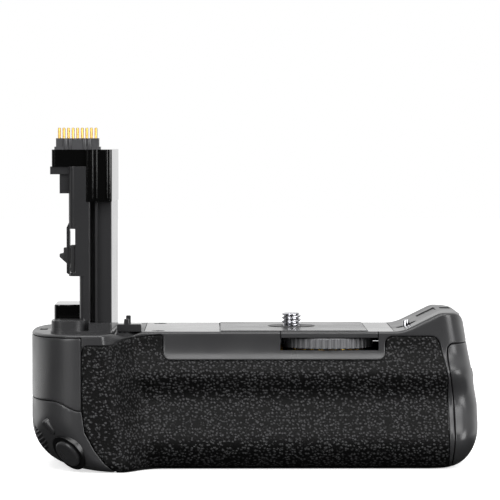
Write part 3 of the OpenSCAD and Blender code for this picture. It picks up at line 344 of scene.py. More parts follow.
def formPoint(a, z, inset=0.0):
    # a runs from the left end (0) along the front to the right end (4) and back along the rear to 8
    a, z, inset = np.broadcast_arrays(np.mod(a, 8.0), np.asarray(z, float), np.asarray(inset, float))
    f = np.where(a <= 4, a, 8 - a)
    lo = body["toeW"] * (1 - quarter(z / body["toeH"], 2.4)) - half + inset
    hi = (half + body["heelOut"] - body["heelW"] * (1 - quarter(z / body["heelH"], 2))
          - body["lean"] * np.maximum(0, z - body["leanH"]) - inset)
    er, hr, vw = body["endRound"], body["heelRound"], body["valleyW"]
    x = np.select([f <= 1, f <= 2, f <= 3], [
        lo + er * (1 - np.cos(np.pi / 2 * f)), lo + er + vw * (f - 1), lerp(lo + er + vw, hi - hr, f - 2)],
        hi - hr * (1 - np.cos(np.pi / 2 * (4 - f))))
    pull = body["baseRound"] * (1 - quarter(z / body["baseRound"], 2)) + inset
    front, rear = frontAt(x, z) + pull, rearAt(x, z) - pull
    fill = quarter((x - lo) / er, 2.5) * quarter((hi - x) / hr, 3)
    y = lerp((front + rear) / 2, np.where(a <= 4, front, rear), fill)
    p = np.stack([x, y, z], -1)
    d = (p - landP) @ landN + inset
    r = body["landRound"]
    back = np.where(d > r, d, np.where(d < -r, 0.0, d + (r - d) ** 2 / (4 * r)))
    return p - back[..., None] * landN


def cornered(path, steps=8):
    # rounds the corners of a path given as (x, y, radius)
    out, n = [], len(path)
    for i, (x, y, r) in enumerate(path):
        v = np.array([x, y], float)
        if r == 0:
            out.append(v)
            continue
        a = np.array(path[i - 1][:2], float) - v
        b = np.array(path[(i + 1) % n][:2], float) - v
        a, b = a / np.linalg.norm(a), b / np.linalg.norm(b)
        turn = math.acos(float(np.clip(a @ b, -1, 1)))
        mid = v + (a + b) / np.linalg.norm(a + b) * r / math.sin(turn / 2)
        s, e = v + a * r / math.tan(turn / 2) - mid, v + b * r / math.tan(turn / 2) - mid
        way = math.copysign(math.pi - turn, s[0] * e[1] - s[1] * e[0])
        for k in range(steps + 1):
            c, w = math.cos(way * k / steps), math.sin(way * k / steps)
            out.append(mid + np.array([s[0] * c - s[1] * w, s[0] * w + s[1] * c]))
    return np.array(out)


def inside(points, outline):
    # signed distance to a closed outline, above 0 inside
    best = np.full(len(points), 1e9)
    odd = np.zeros(len(points), bool)
    for p, q in zip(outline, np.roll(outline, -1, axis=0)):
        e = q - p
        t = np.clip(((points - p) @ e) / max(e @ e, 1e-12), 0, 1)
        best = np.minimum(best, np.linalg.norm(points - p - t[:, None] * e, axis=1))
        over = (p[1] > points[:, 1]) != (q[1] > points[:, 1])
        if p[1] != q[1]:
            odd ^= over & (points[:, 0] < p[0] + (points[:, 1] - p[1]) * e[0] / e[1])
    return np.where(odd, best, -best)


def grown(outline, by):
    # moves an outline outwards by a small step
    area = np.sum(outline[:, 0] * np.roll(outline[:, 1], -1) - outline[:, 1] * np.roll(outline[:, 0], -1))
    length = np.linalg.norm(np.roll(outline, -1, axis=0) - outline, axis=1)
    outline = outline[length > 1e-6]
    e = np.roll(outline, -1, axis=0) - outline
    n = np.stack([e[:, 1], -e[:, 0]], 1) / np.linalg.norm(e, axis=1)[:, None] * np.sign(area)
    m = n + np.roll(n, 1, axis=0)
    m /= np.linalg.norm(m, axis=1)[:, None]
    return outline + m * (by / np.clip((m * n).sum(1), 0.4, 1))[:, None]


def stations(coarse=1.0):
    counts = [int(round(c / coarse)) for c in (44, 44, 116, 26)]
    front = np.concatenate([np.linspace(i, i + 1, c, endpoint=False) for i, c in enumerate(counts)] + [[4.0]])
    return np.concatenate([front, (8 - front[1:-1])[::-1]])


def splitFaces(uv, faces, value, level):
    side = value[faces] - level
    side[np.abs(side) < 1e-9] = 0
    crossing = (side.max(1) > 0) & (side.min(1) < 0)
    points, heights, made, new = list(uv), list(value), {}, []

    def between(i, j):
        key = (min(i, j), max(i, j))
        if key not in made:
            p, q = points[key[0]], points[key[1]]
            if abs(p[0] - q[0]) > 4:  # across the left end
                p, q = (p, q + np.array([8.0, 0])) if p[0] > q[0] else (p + np.array([8.0, 0]), q)
            t = (level - heights[key[0]]) / (heights[key[1]] - heights[key[0]])
            made[key] = len(points)
            points.append(p + (q - p) * t)
            heights.append(level)
        return made[key]

    for f, s in zip(faces[crossing], side[crossing]):
        zero = [k for k in range(3) if s[k] == 0]
        if zero:
            k = zero[0]
            a, b, c = f[k], f[(k + 1) % 3], f[(k + 2) % 3]
            m = between(b, c)
            new += [(a, b, m), (a, m, c)]
            continue
        k = [i for i in range(3) if np.sign(s[i]) != np.sign(s[(i + 1) % 3])
             and np.sign(s[i]) != np.sign(s[(i + 2) % 3])][0]
        a, b, c = f[k], f[(k + 1) % 3], f[(k + 2) % 3]
        m, n = between(a, b), between(a, c)
        new += [(a, m, n), (m, b, c), (m, c, n)]
    kept = faces[~crossing]
    return np.array(points), np.concatenate([kept, np.array(new, int).reshape(-1, 3)]), np.array(heights)


def sunk(d, radius):
    # depth of a rounded edge at distance d inside it
    t = np.clip(radius - np.clip(d, 0, radius), 0, radius)
    return radius - np.sqrt(np.maximum(radius ** 2 - t ** 2, 0))


def sculpt(name, place, rows, field=None, radius=0.35, coarse=1.0, roof=None):
    # closed mesh over the form; place gives points from (a, row), field is the distance inside an edge to round
    around = stations(coarse)
    n, m = len(around), len(rows)
    uv = np.array([(a, s) for s in rows for a in around])
    k, j = np.meshgrid(np.arange(m - 1), np.arange(n), indexing="ij")
    p, q = (k * n + j).ravel(), (k * n + (j + 1) % n).ravel()
    faces = np.concatenate([np.stack([p, q, q + n], 1), np.stack([p, q + n, p + n], 1)])
    points = place(uv[:, 0], uv[:, 1])
    if field is not None:
        value = field(points)
        for level in (0.0, radius * 0.12, radius * 0.4, radius):
            uv, faces, value = splitFaces(uv, faces, value, level)
        eps = 1e-3
        along = place(uv[:, 0] + eps, uv[:, 1]) - place(uv[:, 0] - eps, uv[:, 1])
        up = place(uv[:, 0], np.minimum(uv[:, 1] + eps, rows[-1])) - place(
            uv[:, 0], np.maximum(uv[:, 1] - eps, rows[0]))
        normal = np.cross(along, up)
        normal /= np.maximum(np.linalg.norm(normal, axis=1), 1e-12)[:, None]
        points = place(uv[:, 0], uv[:, 1]) - normal * (sunk(value, radius) * (value > -0.6))[:, None]
    faces = [tuple(f) for f in faces]
    points = list(points)
    h = n // 2
    if roof is None:
        ring = [(m - 1) * n + i for i in range(n)]
        faces += [(ring[i], ring[i + 1], ring[n - i - 1]) for i in range(h - 1)]
        faces += [(ring[i], ring[n - i - 1], ring[n - i]) for i in range(1, h)]
    else:  # a roof of cross strips that follows the deck and the horn
        ring, cross = [(m - 1) * n + i for i in range(n)], roof["cross"]
        lines = [[ring[0]] * (cross + 1)]
        for i in range(1, h):
            f, r = points[ring[i]], points[ring[n - i]]
            line = [ring[i]]
            for c in range(1, cross):
                mid = lerp(f, r, c / cross)
                mid[2] = roof["height"](mid[0], mid[1])
                line.append(len(points))
                points.append(mid)
            lines.append(line + [ring[n - i]])
        lines.append([ring[h]] * (cross + 1))
        for one, two in zip(lines, lines[1:]):
            for c in range(cross):
                quad = [one[c], two[c], two[c + 1], one[c + 1]]
                quad = [v for i, v in enumerate(quad) if v not in quad[:i]]
                faces.append(tuple(quad))
    made = solid(name, points, faces)
    work = bmesh.new()  # the base is one flat face
    work.from_mesh(made.data)
    openEdges = [e for e in work.edges if e.is_boundary]
    bmesh.ops.holes_fill(work, edges=openEdges, sides=0)
    bmesh.ops.triangulate(work, faces=[f for f in work.faces if len(f.verts) > 4])
    bmesh.ops.recalc_face_normals(work, faces=work.faces)
    work.to_mesh(made.data)
    work.free()
    return made


def plainForm(name, inset=0.0, low=0.0, high=46.0, field=None, radius=0.35, coarse=1.0):
    z = np.unique(np.concatenate([
        np.linspace(low, min(high, 5), int(14 / coarse)),
        np.linspace(min(high, 5), high, int(max(3, (high - 5) / (0.8 * coarse))))]))
    return sculpt(name, lambda a, s: formPoint(a, s, inset), z, field, radius, coarse)


# outlines of the covers in the front view
gripLeft, gripRight, gripLow = 17.1 - half, half - 9.1, body["base"] + body["seam"]
panelX0, panelX1, panelLow = 42.7 - half, 42.3, deck - 8.8
skirt = 0.5  # the rubber is drawn down to the rolled bottom edge
seamLow, seamStep = deck - 24.3, 3.1
waveX = np.linspace(-half - 3, gripLeft, 33)
wave = np.stack([waveX, seamLow + seamStep * smooth((gripLeft - 0.4 - waveX) / 9)], 1)
slant = np.array([[gripLeft + 1, 13], [gripLeft + 4, 7.5], [gripLeft + 7.5, gripLow], [gripLeft + 11, 0]])
gripOutline = cornered([
    (gripLeft, deck - 3.4, 2), (gripLeft + 9.4, deck - 3.4, 2), (gripLeft + 13, deck - 2, 1), (panelX0, deck - 0.7, 1),
    (panelX0, panelLow, 2.4), (panelX1, panelLow, 2.4), (panelX1, deck - 1.4, 2.4), (gripRight - 3, deck - 1.4, 3),
    (gripRight, deck - 14, 6), (gripRight + 0.3, skirt, 0.4), (gripLeft + 10.4, skirt, 0),
    (*slant[2], 0), (*slant[1], 2), (*slant[0], 3),
    (gripLeft, seamLow, 0)])
endOutline = np.concatenate([wave, [[gripLeft, deck - 0.9], [-half - 3, deck - 0.9]]])
podOutline = np.concatenate([wave, slant, [[slant[3][0], -2], [-half - 3, -2]]])
capTop = deck - 4


def capEdge(z):
    return half - 9.1 + 2 * smooth((capTop - 2 - z) / 18) - 0.6 * smooth((11 - z) / 12)


capSide = [(capEdge(z), z, 0) for z in np.linspace(-2, capTop - 4, 40)]
capOutline = cornered(capSide + [(capEdge(capTop), capTop, 2), (half + 9, capTop, 0), (half + 9, -2, 0)])
rearX1 = half - 15
rearOutline = cornered([
    (7 - half, body["base"] + 2, 5), (rearX1, body["base"] + 2, 5), (rearX1, deck - 6, 5), (7 - half, deck - 6, 5)])
thumbOutline = cornered([(-28, body["base"] + 5, 4), (-2, body["base"] + 5, 5), (6, deck - 9, 5), (-28, deck - 9, 4)])


def zoneField(outline, y0=-90.0, y1=90.0):
    return lambda p: np.minimum(inside(p[:, [0, 2]], outline), np.minimum(p[:, 1] - y0, y1 - p[:, 1]))


# housing: rim with a rolled edge, saddle over the finger notch and the horn at the right
housing = {"rim": 0.9, "dip": 1.4, "gap": 0.12, "edge": 0.3}
skyline = cornered([
    (-90, deck, 0), (48.5, deck, 14), (61, deck + 6, 5), (half - 4, deck + 6, 3.4), (half - 2, capTop, 0)], 12)[:-1]


def skyAt(x):
    return np.interp(x, skyline[:, 0], skyline[:, 1])


def dipAt(x):
    return housing["dip"] * np.where((x > 25 - half) & (x < 36 - half), np.sin(np.pi * (x - 25 + half) / 11) ** 2, 0)


def housingPlace(a, s):
    top = np.full(np.shape(a), deck)
    for _ in range(3):
        x = formPoint(a, top)[..., 0]
        top = skyAt(x) - np.where(np.mod(a, 8) <= 4, dipAt(x), 0)
    turn = np.clip(s - 1, 0, 1) * np.pi / 2
    z = np.where(s <= 1, lerp(body["base"], top - housing["rim"], np.clip(s, 0, 1)),
                 top - housing["rim"] * (1 - np.sin(turn)))
    foot = np.clip(1 - (z - body["base"]) / 0.3, 0, 1) ** 2 * 0.25
    return formPoint(a, z, housing["rim"] * (1 - np.cos(turn)) + foot)


zones = [zoneField(gripOutline, y1=-14), zoneField(endOutline, y1=10), zoneField(grown(podOutline, 0.3), y1=6.3),
         zoneField(grown(capOutline, 0.3)), zoneField(rearOutline, y0=10)]


def housingField(p):
    return -np.max([zone(p) for zone in zones], axis=0)


rows = np.concatenate([[0, 0.002, 0.005, 0.009], np.linspace(0.02, 1, 56), 1 + np.linspace(0, 1, 7)[1:]])
shell = sculpt("mainHousing", housingPlace, rows, housingField, housing["edge"], 1.0, {
    "cross": 20, "height": lambda x, y: float(skyAt(x) - dipAt(x) * smooth((-25 - y) / 4))})
print("housing form:", len(shell.data.polygons), "faces")

# places of the mechanism, the magazine and the column, as in the part's source
place = {
    "screw": (12.9, 2.148), "wheel": (24.5, -12.9), "wheelD": 29.0, "wheelZ": (38.4, 41.8), "mechTop": 42.1,
    "peg": (50.2, -5.352), "bridge": (8.7, 40.3), "windowLow": 38.0, "plate": (-35.0, 45.5, -24.0, 25.0),
    "sleeve": (-56.4, 61.5, -1.5, 21.9, 6.4, 31.6), "lock": (0.5, 21.0), "split": 66.6,
    "knobFloor": 70.7, "knobD": 19.0,
    "column": (-58.9, -45.3, -30.0, 6.0), "leg": -55.5, "button": -47.0, "buttons": (33.0, 23.0, 13.0),
    "switch": (-36.0, 12.5)}
wheelX, wheelY = place["wheel"]
screwX, screwY = place["screw"]
sleeve = place["sleeve"]


def upright(x, y, z0, z1, radius, steps=64):
    return lathe([(0, z0), (radius, z0), (radius, z1), (0, z1)], steps, Matrix.Translation((x * mm, y * mm, 0)))


def onLand(back, side, up):
    at = landP + back * landBack + side * landSide + up * landN
    turn = np.stack([-landSide, landBack, landN], 1)
    return Matrix.Translation(at * mm) @ Matrix(turn.tolist()).to_4x4()


def alongX(x, y, z):
    return Matrix.Translation((x * mm, y * mm, z * mm)) @ Matrix.Rotation(math.pi / 2, 4, "Y")


def alongY(x, y, z):
    return Matrix.Translation((x * mm, y * mm, z * mm)) @ Matrix.Rotation(-math.pi / 2, 4, "X")


skins = carve(prism(gripOutline, -70, -14), prism(endOutline, -70, 10), "UNION")
carve(skins, plainForm("skinForm", body["skin"], coarse=2.0))
carve(shell, skins)
x0, x1, y0, y1 = place["plate"]
column = place["column"]
slopeZ = lambda x: deck + 6 / 12.5 * (x - 48.5)
liner = [(54.5, slopeZ(54.5) - 1.6), (60.5, slopeZ(60.5) - 1.6), (60.5, slopeZ(60.5) + 9), (54.5, slopeZ(54.5) + 9)]
hollow = plainForm("hollowForm", body["wall"], coarse=2.0, low=-1.0, high=52.0)
room = carve(box((-half, -60, -2), (half - 12, 60, deck - 4)),
             box((-7.1, -60, 8.9), (42.3, body["rear"] - 4, 42.1)), "UNION")
carve(hollow, room, "INTERSECT")
carveAll(shell, [
    hollow,
    prism(grown(podOutline, 0.3), -90, 6.3),
    prism(grown(capOutline, 0.3), -90, 90),
    prism(rearOutline, 10, 90),
    box((sleeve[0], sleeve[2] - sleeve[3] - 0.02, sleeve[4] - 0.02),
        (half, sleeve[2] + sleeve[3] + 0.02, sleeve[5] + 0.02)),
    box((66.3, -2.8, 39), (69.3, 10, 42.6)),
    box((place["bridge"][0], -90, place["windowLow"]), (place["bridge"][1], -21, deck + 1)),
    upright(wheelX, wheelY, place["windowLow"], place["mechTop"], 15.0, 96),
    upright(wheelX, wheelY, 35.3, 39.1, 12.2, 64),
    upright(screwX, screwY, 41.1, deck + 9, 4.2),
    upright(*place["peg"], deck - 2.5, deck + 9, 0.92, 32),
    upright(*place["peg"], deck - 0.25, deck + 9, 3.3),
    box((place["leg"] + 1, column[2] + 4, deck - 9), (column[1] - 1, column[3] - 4, deck + 9)),
    prism(np.array(liner), 1, 15),
    box((61.8, 2, deck + 3.8), (65.2, 10, deck + 15)),
    box((2.5 - half, -14, deck - 1.2), (5 - half, -8, deck + 9))])
plateCut = cornered([(x0, y0, 2), (x1, y0, 2), (x1, y1, 2), (x0, y1, 2)])
plateTool = prism(plateCut, deck - 0.8, deck + 9)
plateTool.data.transform(Matrix(((1, 0, 0, 0), (0, 0, 1, 0), (0, 1, 0, 0), (0, 0, 0, 1))))
plateTool.data.flip_normals()
carve(shell, plateTool)
finishPiece(shell, "mainHousing", satinAbs, ["main_housing"])
print("housing:", len(shell.data.polygons), "faces")

# skins and covers: the same form, rounded along each seam
cover = {"gap": 0.22, "gripEdge": 0.5, "panelEdge": 0.3}


def coverPiece(name, nodeName, outline, y0, y1, depth, material, edge, gap, inset=0.0, cutters=(), sharp=32):
    cut = grown(outline, -gap)
    made = plainForm(name, inset, field=zoneField(cut, y0, y1), radius=edge)
    carve(made, prism(cut, y0, y1), "INTERSECT")
    if depth:
        carve(made, plainForm("back", inset + depth, low=-3.0, high=50.0, coarse=2.0 if depth > 1 else 1.0))
    carveAll(made, cutters)
    return finishPiece(made, name, material, [nodeName], sharp)


skinDepth = body["skin"] - 0.02
coverPiece("frontGrip", "front_grip", gripOutline, -70, -14.3, skinDepth, gripRubber,
           cover["gripEdge"], cover["gap"])
coverPiece("leftEndPanel", "left_end_panel", endOutline, -70, 9.7, skinDepth, satinAbs,
           cover["panelEdge"], cover["gap"])
bar = {"back": -0.3, "side": -10.2, "length": 5.5, "width": 2.4}
dial = {"back": 6.6 + 2.5, "side": -7.3, "up": -7.2, "d": 12.9, "w": 5.0}


def landRod(back, side, up0, up1, radius, steps=64):
    return lathe([(0, up0), (radius, up0), (radius, up1), (0, up1)], steps, onLand(back, side, 0))


def dialRod(radius, width):
    turn = onLand(dial["back"], dial["side"], dial["up"]) @ Matrix.Rotation(math.pi / 2, 4, "X")
    return lathe([(0, -width / 2), (radius, -width / 2), (radius, width / 2), (0, width / 2)], 64, turn)


def stadium(length, width, z0, z1, turn, edge=0.0):
    outline = cornered([(-length / 2, -width / 2, width / 2 - 0.01), (length / 2, -width / 2, width / 2 - 0.01),
                        (length / 2, width / 2, width / 2 - 0.01), (-length / 2, width / 2, width / 2 - 0.01)], 10)
    levels = [(z0, 0.0), (z1 - edge, 0.0)] + [(z1 - edge * (1 - math.sin(t)), edge * (1 - math.cos(t)))
                                            for t in (0.4, 0.8, 1.2, math.pi / 2) if edge > 0]
    n = len(outline)
    points = [(*p, z) for z, i in levels for p in grown(outline, -i)]
    faces = [list(range(n))[::-1], [len(points) - n + i for i in range(n)]]
    faces += [(k * n + i, k * n + (i + 1) % n, (k + 1) * n + (i + 1) % n, (k + 1) * n + i)
              for k in range(len(levels) - 1) for i in range(n)]
    made = solid("stadium", points, faces, True)
    made.data.transform(turn)
    return made


coverPiece("controlPod", "control_pod", podOutline, -90, 6, 0, satinAbs, cover["panelEdge"], 0.0, cutters=[
    box((sleeve[0] - 0.2, sleeve[2] - sleeve[3] - 0.2, sleeve[4] - 0.2), (half, 60, 60)),
    landRod(0, 0, -3, 20, 6.52), landRod(0, 0, -8, 12, 5.9),
    stadium(bar["length"] + 0.3, bar["width"] + 0.3, -3.4, 16, onLand(bar["back"], bar["side"], 0)),
    dialRod(dial["d"] / 2 + 0.35, dial["w"] + 0.6), dialRod(1.0, dial["w"] + 6)])
areaButton = stadium(bar["length"], bar["width"], -2.6, -0.3, onLand(bar["back"], bar["side"], 0), 0.5)
finishPiece(areaButton, "areaButton", satinAbs, ["af_area_button"])
rearHoles = [lathe([(0, 0), (3.35, 0), (3.35, 60), (0, 60)], 48, alongY(place["button"], 0, z))
             for z in place["buttons"]]
rearHoles += [lathe([(0, 0), (2.06, 0), (2.06, 60), (0, 60)], 32, alongY(place["switch"][0], 0, place["switch"][1])),
              lathe([(0, 27), (5.4, 27), (5.4, 60), (0, 60)], 64, alongY(place["switch"][0], 0, place["switch"][1]))]
coverPiece("rearCover", "rear_cover", rearOutline, 10, 90, body["wall"], satinAbs, cover["panelEdge"], 0.25,
           cutters=rearHoles)
coverPiece("thumbGrip", "thumb_grip", thumbOutline, 10, 90, 1.0, gripRubber, 0.8, 0.0, inset=-1.0)
base = plainForm("baseCover", high=body["base"])
carveAll(base, [box((-36, -18.5, 1.6), (-33, 15.5, 6.4)), box((44, -18.5, 1.6), (47, 15.5, 6.4))], "UNION")
baseScrews = [(x, y) for x in (37.5 - half, half - 16.5) for y in (8 - body["front"], body["rear"] - 9)]
carveAll(base, [prism(grown(podOutline, 0.3), -90, 6.3), prism(grown(capOutline, 0.3), -90, 90),
                upright(screwX, screwY, -1, 19, 5.02),
                upright(screwX, screwY, -1, 1.2, 6.52)]
         + [upright(x, y, -1, 1.4, 2.15) for x, y in baseScrews]
         + [upright(x, y, -1, 9, 1.02, 32) for x, y in baseScrews])
hem = prism(gripOutline, -70, -14)
carve(hem, plainForm("hemForm", body["skin"], low=-3.0, high=9.0, coarse=2.0))
carve(base, hem)
# painted shade: the base cover takes the darker matte ABS for the shade under the body
finishPiece(base, "baseCover", matteAbs, ["base_cover"])
capForm = plainForm("capForm", field=zoneField(capOutline), radius=0.35, low=0.0)
carve(capForm, prism(capOutline, -90, 90), "INTERSECT")
capBack = bpy.data.objects.new("capBackplate", capForm.data.copy())
scene.collection.objects.link(capBack)
carve(capBack, box((0, -90, -1), (place["split"], 90, 90)), "INTERSECT")
carve(capBack, box((0, -22.1, 7.7), (64.5, 19.1, 30.3)))
carve(capForm, box((place["split"], -90, -1), (half + 9, 90, 90)), "INTERSECT")
lockY, lockZ = place["lock"]
lockWay = lathe([(0, 65.6), (21.4, 65.6), (21.4, 68.7), (0, 68.7)], 64, alongX(0, lockY, lockZ))
carve(lockWay, box((0, lockY - 3.1, lockZ - 3.1), (99, 99, 99)), "INTERSECT")
knobRoom = [(0, place["knobFloor"]), (10.0, place["knobFloor"]), (10.0, 90), (0, 90)]
carveAll(capForm, [lockWay, lathe(knobRoom, 96, alongX(0, lockY, lockZ)),
                   lathe([(0, 0), (2.06, 0), (2.06, 99), (0, 99)], 32, alongX(0, lockY, lockZ))])
finishPiece(capForm, "magazineCap", satinAbs, ["magazine_cap"])
finishPiece(capBack, "capBackplate", satinAbs, ["cap_backplate"])
print("covers done")

# bridge over the lock wheel, with the same rolled rim as the housing
bridgeFront = float(frontAt(np.array(wheelX), np.array(place["mechTop"])))
rim = housing["rim"]
section = [(bridgeFront, 42.1)]
section += [(bridgeFront + rim * (1 - math.cos(t)), deck - rim * (1 - math.sin(t)))
            for t in np.linspace(0, math.pi / 2, 7)]
section += [(-24.0, deck), (-24.0, deck - 0.8), (-21.02, deck - 0.8), (-21.02, 42.1)]
n = len(section)
b0, b1 = place["bridge"][0] + 0.3, place["bridge"][1] - 0.3
bridge = solid("wheelBridge", [(b0, y, z) for y, z in section] + [(b1, y, z) for y, z in section],
               [list(range(n)), list(range(2 * n - 1, n - 1, -1))]
               + [(i, n + i, n + (i + 1) % n, (i + 1) % n) for i in range(n)], True)
finishPiece(bridge, "wheelBridge", satinAbs, ["wheel_bridge"])


# Geometry Nodes for what repeats

def newTree(name, inputs):
    tree = bpy.data.node_groups.new(name, "GeometryNodeTree")
    tree.interface.new_socket("Geometry", in_out="INPUT", socket_type="NodeSocketGeometry")
    for label, kind in inputs:
        tree.interface.new_socket(label, in_out="INPUT", socket_type="NodeSocket" + kind)
    tree.interface.new_socket("Geometry", in_out="OUTPUT", socket_type="NodeSocketGeometry")
    return tree, tree.nodes.new("NodeGroupInput").outputs, tree.nodes.new("NodeGroupOutput").inputs


def runTree(target, tree, values):
    grow = target.modifiers.new("repeat", "NODES")
    grow.node_group = tree
    for item in tree.interface.items_tree:
        if item.in_out == "INPUT" and item.name in values:
            grow[item.identifier] = values[item.name]
    return bake(target)


# ridges round a rim, joined to the core that the modifier sits on
ridgeTree, gives, takes = newTree("ridgeRing", [
    ("Ridges", "Int"), ("Ring Radius", "Float"), ("Ridge Radius", "Float"),
    ("Ridge Length", "Float"), ("Material", "Material")])
ring = addNode(ridgeTree, "GeometryNodeMeshCircle", None, {
    "Vertices": gives["Ridges"], "Radius": gives["Ring Radius"]})
ridge = addNode(ridgeTree, "GeometryNodeMeshCylinder", None, {
    "Vertices": 12, "Radius": gives["Ridge Radius"], "Depth": gives["Ridge Length"]})
placed = addNode(ridgeTree, "GeometryNodeInstanceOnPoints", None, {
    "Points": ring.outputs["Mesh"], "Instance": ridge.outputs["Mesh"]})
both = addNode(ridgeTree, "GeometryNodeJoinGeometry")
ridgeTree.links.new(placed.outputs["Instances"], both.inputs["Geometry"])
ridgeTree.links.new(gives["Geometry"], both.inputs["Geometry"])
real = addNode(ridgeTree, "GeometryNodeRealizeInstances", None, {"Geometry": both.outputs["Geometry"]})
paint = addNode(ridgeTree, "GeometryNodeSetMaterial", None, {
    "Geometry": real.outputs["Geometry"], "Material": gives["Material"]})
ridgeTree.links.new(paint.outputs["Geometry"], takes["Geometry"])

# rows of one small piece: pins, screws, terminals
rowTree, gives, takes = newTree("rowsOfOne", [
    ("Count X", "Int"), ("Count Y", "Int"), ("Size X", "Float"), ("Size Y", "Float"),
    ("Centre", "Vector"), ("Material", "Material")])
grid = addNode(rowTree, "GeometryNodeMeshGrid", None, {
    "Vertices X": gives["Count X"], "Vertices Y": gives["Count Y"],
    "Size X": gives["Size X"], "Size Y": gives["Size Y"]})
moved = addNode(rowTree, "GeometryNodeTransform", None, {
    "Geometry": grid.outputs["Mesh"], "Translation": gives["Centre"]})
placed = addNode(rowTree, "GeometryNodeInstanceOnPoints", None, {
    "Points": moved.outputs["Geometry"], "Instance": gives["Geometry"]})
real = addNode(rowTree, "GeometryNodeRealizeInstances", None, {"Geometry": placed.outputs["Instances"]})
paint = addNode(rowTree, "GeometryNodeSetMaterial", None, {
    "Geometry": real.outputs["Geometry"], "Material": gives["Material"]})
rowTree.links.new(paint.outputs["Geometry"], takes["Geometry"])

# lock wheel: core with chamfered faces and rounded ridges
wheel = {"ridges": 44, "ridge": 0.62, "chamfer": 0.35, "bore": 2.06}
w0, w1 = place["wheelZ"]
core = place["wheelD"] / 2 - 0.55
c = wheel["chamfer"]
lockWheel = lathe([(wheel["bore"], -1.7), (core - c, -1.7), (core, -1.7 + c),
                   (core, 1.7 - c), (core - c, 1.7), (wheel["bore"], 1.7)], 96)
# the lighter grey of the wheel is painted highlight and wear on the knurl
runTree(lockWheel, ridgeTree, {"Ridges": wheel["ridges"], "Ring Radius": (place["wheelD"] / 2 - wheel["ridge"]) * mm,
                               "Ridge Radius": wheel["ridge"] * mm, "Ridge Length": 3.0 * mm, "Material": wheelNylonWearAndPaintedHighlight})
lockWheel.data.transform(Matrix.Translation((wheelX * mm, wheelY * mm, (w0 + w1) / 2 * mm)))
finishPiece(lockWheel, "lockWheel", wheelNylonWearAndPaintedHighlight, ["lock_wheel"])

# control dial: the same on the sloped land
dialCore = dial["d"] / 2 - 0.4
controlDial = lathe([(1.06, -2.5), (dialCore - 0.5, -2.5), (dialCore, -2.0),
                     (dialCore, 2.0), (dialCore - 0.5, 2.5), (1.06, 2.5)], 72)
runTree(controlDial, ridgeTree, {"Ridges": 28, "Ring Radius": (dial["d"] / 2 - 0.5) * mm, "Ridge Radius": 0.5 * mm,
                                 "Ridge Length": 4.2 * mm, "Material": matteAbs})
controlDial.data.transform(onLand(dial["back"], dial["side"], dial["up"]) @ Matrix.Rotation(math.pi / 2, 4, "X"))
finishPiece(controlDial, "controlDial", matteAbs, ["control_dial"])

# contact pins: plain plungers with rounded tips
pin = {"r": 0.42, "pitch": 1.46, "rows": 2.6, "low": 104.0, "top": 109.4, "x": -56.1, "y": -25.0, "count": 9}
contactPins = lathe([(0, pin["low"]), (pin["r"], pin["low"]), (pin["r"], pin["top"] - 0.3),
                     (pin["r"] * 0.7, pin["top"] - 0.08),
                     (pin["r"] * 0.35, pin["top"]), (0, pin["top"])], 14)
runTree(contactPins, rowTree, {"Count X": pin["count"], "Count Y": 2, "Size X": (pin["count"] - 1) * pin["pitch"] * mm,
                               "Size Y": pin["rows"] * mm,
                               "Centre": (pin["x"] * mm, pin["y"] * mm, 0), "Material": goldFlash})
finishPiece(contactPins, "contactPins", goldFlash, ["contact_pins"])


def crossScrew(radius, height, upward):
    # pan head with a cross recess
    made = lathe([(0, 0), (radius, 0), (radius, height * 0.5), (radius * 0.85, height * 0.85),
                  (radius * 0.5, height), (0, height)], 32)
    for turn in (0, math.pi / 2):
        slot = box((-1.2, -0.25, height * 0.45), (1.2, 0.25, height + 1))
        slot.data.transform(Matrix.Rotation(turn, 4, "Z"))
        carve(made, slot)
    if not upward:
        made.data.transform(Matrix.Rotation(math.pi, 4, "X"))
    return made


deckScrews = crossScrew(2.0, 0.6, True)
runTree(deckScrews, rowTree, {"Count X": 1, "Count Y": 2, "Size X": 0.0, "Size Y": 41 * mm,
                              "Centre": (-30.5 * mm, 0.5 * mm, (deck - 0.8) * mm), "Material": turnedSteel})
finishPiece(deckScrews, "deckScrews", turnedSteel, ["deck_screws"])
baseScrew = crossScrew(2.0, 1.2, False)
carve(baseScrew, upright(0, 0, -0.1, 1.2, 1.0, 24), "UNION")
runTree(baseScrew, rowTree, {"Count X": 2, "Count Y": 2, "Size X": 89 * mm, "Size Y": 36 * mm,
                             "Centre": (10.5 * mm, 0.0, 1.4 * mm), "Material": turnedSteel})
finishPiece(baseScrew, "baseScrews", turnedSteel, ["base_screws"])


def threaded(major, minor, pitch, z0, z1, lead, steps=48):
    # rod with a rolled helical thread that fades out over lead at both ends
    rowsOf = int((z1 - z0) / pitch * 14)
    points, faces = [], []
    for k in range(rowsOf + 1):
        z = lerp(z0, z1, k / rowsOf)
        fade = min(1, (z - z0) / lead, (z1 - z) / lead)
        for i in range(steps):
            t = (z / pitch - i / steps) % 1
            crest = float(np.clip(1.35 * (1 - abs(2 * t - 1)) - 0.1, 0, 1))
            r = lerp(minor, major, crest * max(0, fade)) / 2
            w = 2 * math.pi * i / steps
            points.append((r * math.cos(w), r * math.sin(w), z))
    for k in range(rowsOf):
        faces += [(k * steps + i, k * steps + (i + 1) % steps, (k + 1) * steps + (i + 1) % steps, (k + 1) * steps + i)
                  for i in range(steps)]
    faces += [list(range(steps))[::-1], [rowsOf * steps + i for i in range(steps)]]
    return solid("thread", points, faces, True)


